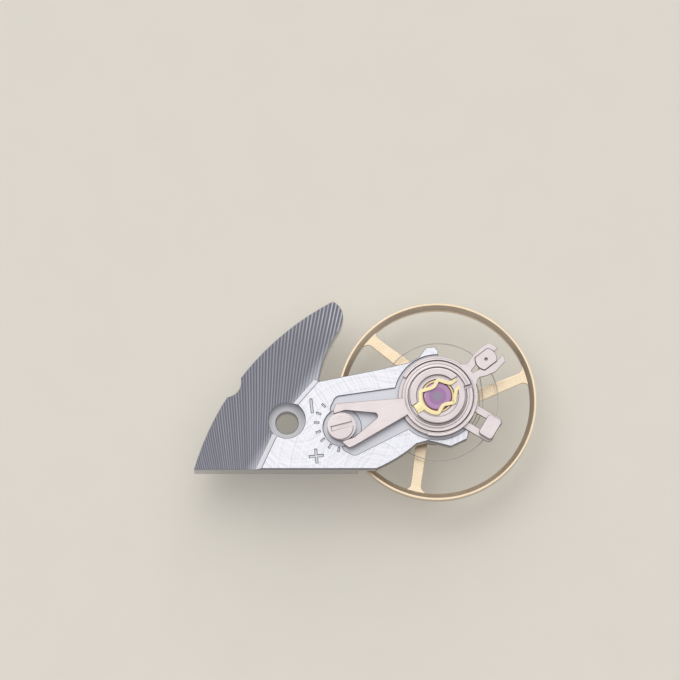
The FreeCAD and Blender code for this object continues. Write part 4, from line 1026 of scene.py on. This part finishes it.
@dataclass
class ShockSetting:
    """The block, the sprung setting with its two stones, and the lyre spring."""

    block: tuple[Point, ...] = (
        (0.25, 1.15), (1.2, 1.15), (1.2, 1.9), (1.34, 1.9), (1.34, 2.25),
        (1.4, 2.25), (1.4, 2.55), (1.385, 2.585), (1.35, 2.6), (1.08, 2.6),
        (1.05, 2.57), (1.05, 2.4), (0.86, 2.4), (0.86, 2.1), (0.6, 1.86),
        (0.6, 1.6), (0.25, 1.6),
    )
    setting: tuple[Point, ...] = (
        (0.18, 1.78), (0.58, 1.78), (0.58, 1.86), (0.84, 2.1), (0.84, 2.32),
        (0.82, 2.34), (0.73, 2.34), (0.71, 2.32), (0.71, 2.12), (0.6, 2.12),
        (0.45, 2.02), (0.45, 1.88), (0.18, 1.88),
    )
    hole_stone: tuple[Point, ...] = (
        (0.055, 1.88), (0.45, 1.88), (0.45, 2.02), (0.315, 2.02), (0.24, 2.0),
        (0.16, 1.99), (0.088, 1.978), (0.062, 1.965), (0.055, 1.95),
    )
    end_stone: tuple[Point, ...] = (
        (0.0, 2.12), (0.7, 2.12), (0.7, 2.35), (0.69, 2.378), (0.665, 2.403),
        (0.63, 2.415), (0.58, 2.42), (0.0, 2.42),
    )
    loop_radius: float = 0.89
    band: float = 0.18
    thickness: float = 0.08
    spring_low: float = 2.42
    hinge: float = -1.27
    hinge_bore: float = 0.055
    hinge_bar: float = 0.045

    def build(self, shop: Shop) -> None:
        """Make the block, the setting, its stones and the spring."""
        block = Blank.turned(self.block)
        bore = Blank.rod(0.0, 0.0, self.hinge_bore, -0.4, 0.4).turn(90.0, "X")
        block.cut(
            Blank.bar((-1.3, 0.0), 0.88, 0.54, (2.4, 2.8)),
            Blank.bar((1.3, 0.0), 0.88, 0.62, (2.4, 2.8)),
            bore.move(self.hinge, 0.0, self.spring_low + self.thickness / 2),
        )
        block.turn(LYRE_ANGLE).move(*STAFF)
        shop.deliver(block, "turned_block", "cock", SATIN_RING, "shock_block")
        for profile, name, finish, node in (
            (self.setting, "stone_setting", BRASS, "jewel_setting"),
            (self.hole_stone, "pierced_stone", DEEP_RUBY, "hole_jewel"),
            (self.end_stone, "end_stone", CAP_RUBY, "cap_jewel"),
        ):
            piece = Blank.turned(profile).move(*STAFF)
            shop.deliver(piece, name, "setting", finish, node)
        shop.deliver(self.lyre(), "lyre_band", "lyre", GILT_SPRING, "lyre_spring")

    def route(self, pen: Pen) -> None:
        """Draw the spring's middle line, from one free end round to the other."""
        steps = (
            (0.88, 0.17), (0.67, 0.4), (0.5, 0.63), (0.38, 0.64), (0.15, 0.49),
            (-0.02, 0.49), (-0.4, 0.6), (-0.489, 0.629), (-0.633, 0.597, 0.15),
            (-0.527, -0.717, self.loop_radius), (-0.385, -0.726, 0.15),
            (-0.03, -0.55), (0.1, -0.57), (0.3, -0.66), (0.52, -0.74),
            (0.68, -0.55), (0.94, -0.27), (1.2, -0.23),
        )
        pen.follow(steps)

    def lyre(self) -> Blank:
        """The flat loop with its tab and hinge bar."""
        spring = Blank.strip((1.23, 0.2), self.route, self.band, self.thickness, 0.06)
        tab = Blank.bar((-1.095, 0.0), 0.35, 0.46, (0.0, self.thickness))
        bar = Blank.rod(0.0, 0.0, self.hinge_bar, -0.39, 0.39).turn(90.0, "X")
        spring.join(tab, bar.move(self.hinge, 0.0, self.thickness / 2))
        spring.soften(0.014)
        return spring.turn(LYRE_ANGLE).move(*STAFF, self.spring_low)


@dataclass
class Regulator:
    """The index with its eccentric, the curb pins' carrier and key, and the stud."""

    low: float = 2.17
    top: float = 2.37
    head_top: float = 2.45
    key_top: float = 2.57
    rail_low: float = 2.02
    rail_top: float = 2.16
    edge: float = 0.028
    claw_edge: float = 0.016
    slot_angle: float = 15.0
    pin_shift: float = 0.085

    def index(self) -> Blank:
        """The split ring with the fork that straddles the cam."""
        low, top = self.low, self.top
        profile = (
            (1.36, low), (1.79, low), (1.79, top), (1.625, top), (1.61, 2.355),
            (1.595, top), (1.47, top), (1.47, 2.23), (1.36, 2.23),
        )
        ring = Blank.turned(profile)
        fork = (
            (1.63, -0.43), (4.65, -1.12), (5.0, -1.16), (5.22, -0.84),
            (5.22, -0.715), (4.62, -0.715), (3.23, -0.13), (3.23, 0.13, -0.156),
            (4.62, 0.715), (5.22, 0.715), (5.22, 0.84), (5.0, 1.16), (4.65, 1.12),
            (1.63, 0.43),
        )
        ring.join(Blank.plate(fork, low, top, rounding=0.05))
        ring.cut(Blank.bar((-1.6, 0.0), 0.8, 0.15, (low - CLEAR, top + CLEAR)))
        return ring.soften(self.edge, 1).turn(INDEX_ANGLE).move(*STAFF)

    def carrier(self) -> Blank:
        """The lower ring, whose two rails hold the key of the curb pins."""
        top = self.rail_top
        ring = Blank.turned(((1.36, 1.91), (1.98, 1.91), (1.98, top), (1.36, top)))
        for side in (1.0, -1.0):
            rail = (
                (1.773, 0.29 * side), (3.46, 0.29 * side), (3.46, 0.53 * side),
                (3.31, 0.68 * side), (1.773, 0.68 * side),
            )
            ring.join(Blank.plate(rail, self.rail_low, top))
        ring.cut(
            Blank.rod(3.06, 0.0, 0.34, 1.9, 2.3),
            Blank.bar((1.675, 0.0), 0.95, 0.12, (1.8, 2.3)),
        )
        return ring.soften(self.edge, 1).turn(KEY_ANGLE).move(*STAFF)

    def key(self) -> Blank:
        """The turning key over the rails, with its boss."""
        half = (
            (0.22, -0.56), (0.38, -0.4, 0.16), (0.38, 0.4), (0.22, 0.56, 0.16),
            (-0.22, 0.56), (-0.38, 0.4, 0.16), (-0.38, -0.4), (-0.22, -0.56, 0.16),
        )
        key = Blank.plate(half, self.low, self.key_top)
        key.soften(self.edge, 1)
        key.join(Blank.rod(0.0, 0.0, 0.33, 1.96, 2.2))
        return key.turn(KEY_ANGLE).move(*KEY)

    def stud_carrier(self) -> Blank:
        """The open outer ring with the claw that grips the stud."""
        low, top = self.low, self.top
        profile = (
            (1.82, low), (2.02, low), (2.02, top), (1.9, top), (1.89, 2.36),
            (1.88, top), (1.82, top),
        )
        ring = Blank.turned(profile)
        gap = (
            (0.0, 0.0), polar(3.0, 112.5), polar(3.2, 165.0), polar(3.0, 217.5),
        )
        claw = (
            (1.85, 0.61), (1.98, 0.52), (2.16, 0.4), (2.5, 0.5), (2.8, 0.6),
            (3.3, 0.63), (3.68, 0.58), (3.9, 0.12), (3.66, 0.06), (3.611, 0.1),
            (3.441, 0.41, 0.56), (2.679, 0.41), (2.509, 0.1, 0.56), (2.12, 0.0),
            (2.12, -0.15), (2.537, -0.2), (2.679, -0.41, 0.56), (3.441, -0.41),
            (3.489, -0.36, 0.56), (3.62, -0.38), (3.9, -0.31), (3.77, -0.66),
            (3.05, -0.78), (2.55, -0.66), (2.26, -0.52), (2.08, -0.57),
            (1.85, -0.74),
        )
        ring.cut(Blank.plate(gap, low - CLEAR, top + CLEAR))
        ring.join(Blank.plate(claw, low, top))
        return ring.soften(self.claw_edge, 1).turn(STUD_ANGLE).move(*STAFF)

    def stud(self) -> Blank:
        """The stud: a flatted head over a slit stem, with a small eye."""
        head = (
            (0.377, -0.4), (0.377, 0.4, 0.55), (-0.377, 0.4), (-0.377, -0.4, 0.55),
        )
        stud = Blank.plate(head, self.low, self.head_top)
        stud.soften(self.edge, 1)
        stud.join(Blank.rod(0.0, 0.0, 0.26, 0.78, 2.2))
        stud.cut(
            Blank.bar((0.0, 0.0), 0.06, 1.2, (0.7, 1.0)),
            Blank.rod(0.0, 0.0, 0.09, 2.1, 2.6),
        )
        return stud.turn(STUD_ANGLE).move(*STUD)

    def eccentric(self) -> Blank:
        """The slotted head on its cam and stem."""
        profile = (
            (0.0, 1.15), (0.3, 1.15), (0.3, 1.9), (0.645, 1.9), (0.645, 2.33),
            (0.65, 2.34), (0.65, 2.42), (0.64, 2.44), (0.615, 2.45), (0.0, 2.45),
        )
        screw = Blank.turned(profile)
        screw.join(Blank.rod(-0.08, 0.0, 0.7, 1.87, 2.33))
        degrees = self.slot_angle - INDEX_ANGLE
        screw.cut(Blank.bar(polar(0.165, degrees), 1.23, 0.22, (2.35, 2.6), degrees))
        screw.soften(0.025, 1, 60.0, self.is_slot)
        return screw.turn(INDEX_ANGLE).move(*ECCENTRIC)

    def is_slot(self, edge: bmesh.types.BMEdge) -> bool:
        """Whether an edge lies in the screw head's upper face."""
        return min(v.co.z for v in edge.verts) > self.head_top - 0.001

    def build(self, shop: Shop) -> None:
        """Make the regulator's pieces."""
        ring, claw = self.carrier, self.stud_carrier
        for make, name, body, finish, node in (
            (self.index, "forked_index", "index", SATIN, "regulator_index"),
            (ring, "pin_carrier", "curb_carrier", SATIN_RING, "curb_pin_carrier"),
            (self.key, "turning_key", "key", SATIN, "regulator_key"),
            (claw, "clawed_ring", "stud_holder", SATIN_RING, "stud_carrier"),
            (self.stud, "slit_stud", "stud_holder", SATIN, "hairspring_stud"),
            (self.eccentric, "slotted_eccentric", "eccentric", SATIN,
             "regulating_eccentric"),
        ):
            shop.deliver(make(), name, body, finish, node)
        profile = (
            (0.0, 0.8), (0.035, 0.8), (0.05, 0.825), (0.05, 2.16), (0.0, 2.16),
        )
        for side, shift in (("outer", self.pin_shift), ("inner", -self.pin_shift)):
            x, y = polar(shift, KEY_ANGLE, KEY)
            pin, node = Blank.turned(profile, 32).move(x, y), side + "_curb_pin"
            shop.deliver(pin, node + "_turned", "key", POLISHED, node)


@dataclass
class Balance:
    """The wheel on its staff, with the roller, its jewel, the collet and the coil."""

    arms: int = 3
    arm_angle: float = 22.5
    arm_low: float = 0.2
    arm_top: float = 0.38
    roller_angle: float = 200.0
    coil_low: float = 0.85
    coil_height: float = 0.12
    coil_thickness: float = 0.04
    coil_start: Point = (0.57, 148.0)
    coil_half_turns: int = 21
    coil_shift: float = 0.0412
    coil_tail: float = 8.0

    def wheel(self) -> Blank:
        """The bevelled rim with three arms set beside its axis, and the hub."""
        profile = (
            (4.67, -0.08), (4.69, -0.1), (4.98, -0.1), (5.0, -0.08), (5.0, 0.585),
            (4.99, 0.6), (4.895, 0.6), (4.88, 0.59), (4.675, 0.405), (4.67, 0.395),
        )
        rim = Blank.turned(profile, 360)
        arm = (
            (0.0, -0.84), (4.266, -0.75), (4.576, -0.987, -0.32), (4.7, -0.987),
            (4.7, -0.013), (4.63, -0.013), (4.321, -0.25, -0.32), (0.0, -0.16),
        )
        spokes = Blank.rod(0.0, 0.0, 1.05, self.arm_low, self.arm_top)
        for number in range(self.arms):
            spoke = Blank.plate(arm, self.arm_low, self.arm_top)
            spokes.join(spoke.turn(number * 360.0 / self.arms))
        spokes.cut(Blank.rod(0.0, 0.0, 0.36, 0.1, 0.5))
        spokes.soften(0.02)
        rim.join(spokes)
        return rim.turn(self.arm_angle).move(*STAFF)

    def staff(self) -> Blank:
        """The turned staff with a fine pivot at each end."""
        profile = (
            (0.0, -1.45), (0.02, -1.45), (0.04, -1.44), (0.05, -1.42), (0.05, -1.25),
            (0.07, -1.215), (0.12, -1.165), (0.195, -1.12), (0.21, -1.1),
            (0.21, -0.8), (0.22, -0.8), (0.22, -0.02), (0.585, -0.02), (0.6, -0.005),
            (0.6, 0.185), (0.585, 0.2), (0.36, 0.2), (0.36, 0.41), (0.345, 0.43),
            (0.27, 0.43), (0.27, 1.05), (0.26, 1.06), (0.14, 1.06), (0.14, 1.74),
            (0.12, 1.77), (0.07, 1.82), (0.05, 1.86), (0.05, 2.07), (0.04, 2.09),
            (0.02, 2.1), (0.0, 2.1),
        )
        return Blank.turned(profile, 96).move(*STAFF)

    def roller(self) -> Blank:
        """The double roller with its notch and the seat of its jewel."""
        profile = (
            (0.22, -0.75), (0.545, -0.75), (0.56, -0.735), (0.56, -0.615),
            (0.545, -0.6), (0.4, -0.6), (0.4, -0.2), (1.135, -0.2),
            (1.15, -0.185), (1.15, -0.035), (1.135, -0.02), (0.22, -0.02),
        )
        roller = Blank.turned(profile)
        roller.cut(
            Blank.plate(self.jewel_outline(), -0.3, 0.1),
            Blank.rod(0.6, 0.0, 0.2, -0.85, -0.5),
        )
        return roller.turn(self.roller_angle).move(*STAFF)

    @staticmethod
    def jewel_outline() -> tuple[Step, ...]:
        """The impulse jewel's D shape."""
        return (0.92, 0.159), (0.92, -0.159, 0.17, 1.0)

    def jewel(self) -> Blank:
        """The upright D-shaped jewel that meets the lever."""
        pin = Blank.plate(self.jewel_outline(), -0.66, -0.02)
        return pin.soften(0.012).turn(self.roller_angle).move(*STAFF)

    def collet(self) -> Blank:
        """The slit ring that holds the coil's inner end."""
        profile = (
            (0.27, 0.78), (0.535, 0.78), (0.55, 0.795), (0.55, 1.025),
            (0.535, 1.04), (0.27, 1.04),
        )
        ring = Blank.turned(profile)
        ring.cut(Blank.bar((0.4, 0.0), 0.52, 0.08, (0.7, 1.1)))
        return ring.turn(self.coil_tail + 90.0).move(*STAFF)

    def coil_route(self, pen: Pen) -> None:
        """Draw the coil: half turns, a run out, and the true outer turn to the stud."""
        pen.swing((0.0, 0.0), 40.0)
        for turn in range(self.coil_half_turns):
            side = self.coil_shift * (-1.0) ** turn
            pen.swing(polar(side, self.coil_tail), 180.0)
        pen.line((2.0845, 1.6945))
        pen.swing((0.9952, 1.5414), 51.94)
        pen.swing((0.0611, -0.0728), 250.06)
        pen.swing((0.0, 0.0), 95.5)

    def coil(self) -> Blank:
        """The hairspring as one thin band on edge."""
        size = (self.coil_thickness, self.coil_height)
        band = Blank.strip(polar(*self.coil_start), self.coil_route, *size)
        return band.move(*STAFF, self.coil_low)

    def build(self, shop: Shop) -> None:
        """Make the balance's pieces and its spring."""
        for blank, name, body, finish, node in (
            (self.wheel(), "gilt_wheel", "balance", GILT, "balance_wheel"),
            (self.staff(), "turned_staff", "balance", POLISHED, "balance_staff"),
            (self.roller(), "double_roller", "balance", BRASS, "roller"),
            (self.jewel(), "impulse_stone", "balance", DEEP_RUBY, "impulse_jewel"),
            (self.collet(), "slit_collet", "balance", BRASS, "collet"),
            (self.coil(), "coiled_spring", "stud_holder", COIL, "hairspring"),
        ):
            shop.deliver(blank, name, body, finish, node)


# The studio


@dataclass
class Studio:
    """A pale floor, soft light and the camera."""

    floor_level: float = -1.5
    floor_half: float = 400.0
    floor_colour: Colour = (0.6, 0.57, 0.5)
    floor_shade: float = 0.96
    floor_glow: float = 0.3
    sky_low: Colour = (0.27, 0.25, 0.275)
    sky_high: Colour = (1.0, 1.0, 1.02)
    sky_stops: tuple[float, float] = (0.15, 0.8)
    sky_axis: tuple[float, float, float] = (-0.1, 0.5, 0.86)
    sky_strength: float = 0.9
    tilt: float = 9.0
    distance: float = 300.0
    view_width: float = 34.085
    target: tuple[float, float, float] = (2.662, 4.049, 2.0)

    def floor(self) -> None:
        """Lay the floor under the lower pivot."""
        blank = Blank()
        half = self.floor_half * MM
        bmesh.ops.create_grid(blank.mesh, x_segments=1, y_segments=1, size=half)
        floor = blank.move(z=self.floor_level * MM).hold()
        floor.name = "floor"
        bench = Bench("pale floor")
        cloud = bench.noise(bench.place, 0.4)
        shade = tuple(c * self.floor_shade for c in self.floor_colour)
        colour = bench.blend(cloud, shade, self.floor_colour)
        rays = bench.node("ShaderNodeLightPath").socket.node.outputs
        seen = Wire(bench, rays["Is Camera Ray"]) + Wire(bench, rays["Is Glossy Ray"])
        seen = (seen + Wire(bench, rays["Is Transmission Ray"])).math("MINIMUM", 1.0)
        bench.surface(
            Base_Color=colour,
            Roughness=0.9,
            Emission_Color=bench.blend(seen, (0.0, 0.0, 0.0), colour),
            Emission_Strength=self.floor_glow,
        )
        floor.data.materials.append(bench.material)

    def sky(self) -> None:
        """Light the scene from above, with a dimmer horizon for the metal to show."""
        world = bpy.data.worlds.new("soft studio")
        bpy.context.scene.world = world
        world.use_nodes = True
        nodes, links = world.node_tree.nodes, world.node_tree.links
        place = nodes.new("ShaderNodeTexCoord")
        split = nodes.new("ShaderNodeVectorMath")
        split.operation = "DOT_PRODUCT"
        split.inputs[1].default_value = self.sky_axis
        ramp = nodes.new("ShaderNodeValToRGB")
        stops = zip(self.sky_stops, (self.sky_low, self.sky_high))
        for mark, (position, colour) in zip(ramp.color_ramp.elements, stops):
            mark.position, mark.color = position, (*colour, 1.0)
        back = nodes["Background"]
        links.new(place.outputs["Generated"], split.inputs[0])
        links.new(split.outputs["Value"], ramp.inputs[0])
        links.new(ramp.outputs[0], back.inputs["Color"])
        back.inputs["Strength"].default_value = self.sky_strength

    def lamp(self, name: str, power: float, spread: float, source: Step) -> None:
        """Hang one soft lamp, some degrees wide, that shines from a direction."""
        light = bpy.data.lights.new(name, "SUN")
        light.energy = power
        light.angle = math.radians(spread)
        aim = Vector(source).to_track_quat("Z", "Y")
        stand(name, light).rotation_euler = aim.to_euler()

    def camera(self) -> None:
        """Look down on the wheel at the slight tilt of the photograph."""
        lens = bpy.data.cameras.new("camera")
        lens.clip_start, lens.clip_end = 0.005, 5.0
        lens.sensor_fit = "HORIZONTAL"
        lens.angle = 2 * math.atan(self.view_width / 2 / self.distance)
        eye = stand("camera", lens)
        tilt = math.radians(self.tilt)
        away = Vector((0.0, -math.sin(tilt), math.cos(tilt)))
        eye.location = (Vector(self.target) + away * self.distance) * MM
        eye.rotation_euler = (tilt, 0.0, 0.0)
        bpy.context.scene.camera = eye

    def build(self) -> None:
        """Set up the floor, the light and the camera."""
        self.floor()
        self.sky()
        self.lamp("key", 0.5, 40.0, (-0.45, 0.5, 1.0))
        self.lamp("back light", 0.7, 60.0, (0.1, 0.85, 0.5))
        self.camera()
        bpy.context.scene.view_settings.view_transform = "Standard"


def main() -> None:
    """Build the model piece by piece."""
    logging.basicConfig(level=logging.INFO, format="%(message)s")
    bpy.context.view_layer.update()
    Studio().build()
    shop = Shop()
    for assembly in (Cock(), ShockSetting(), Regulator(), Balance()):
        assembly.build(shop)


if __name__ == "__main__":
    main()
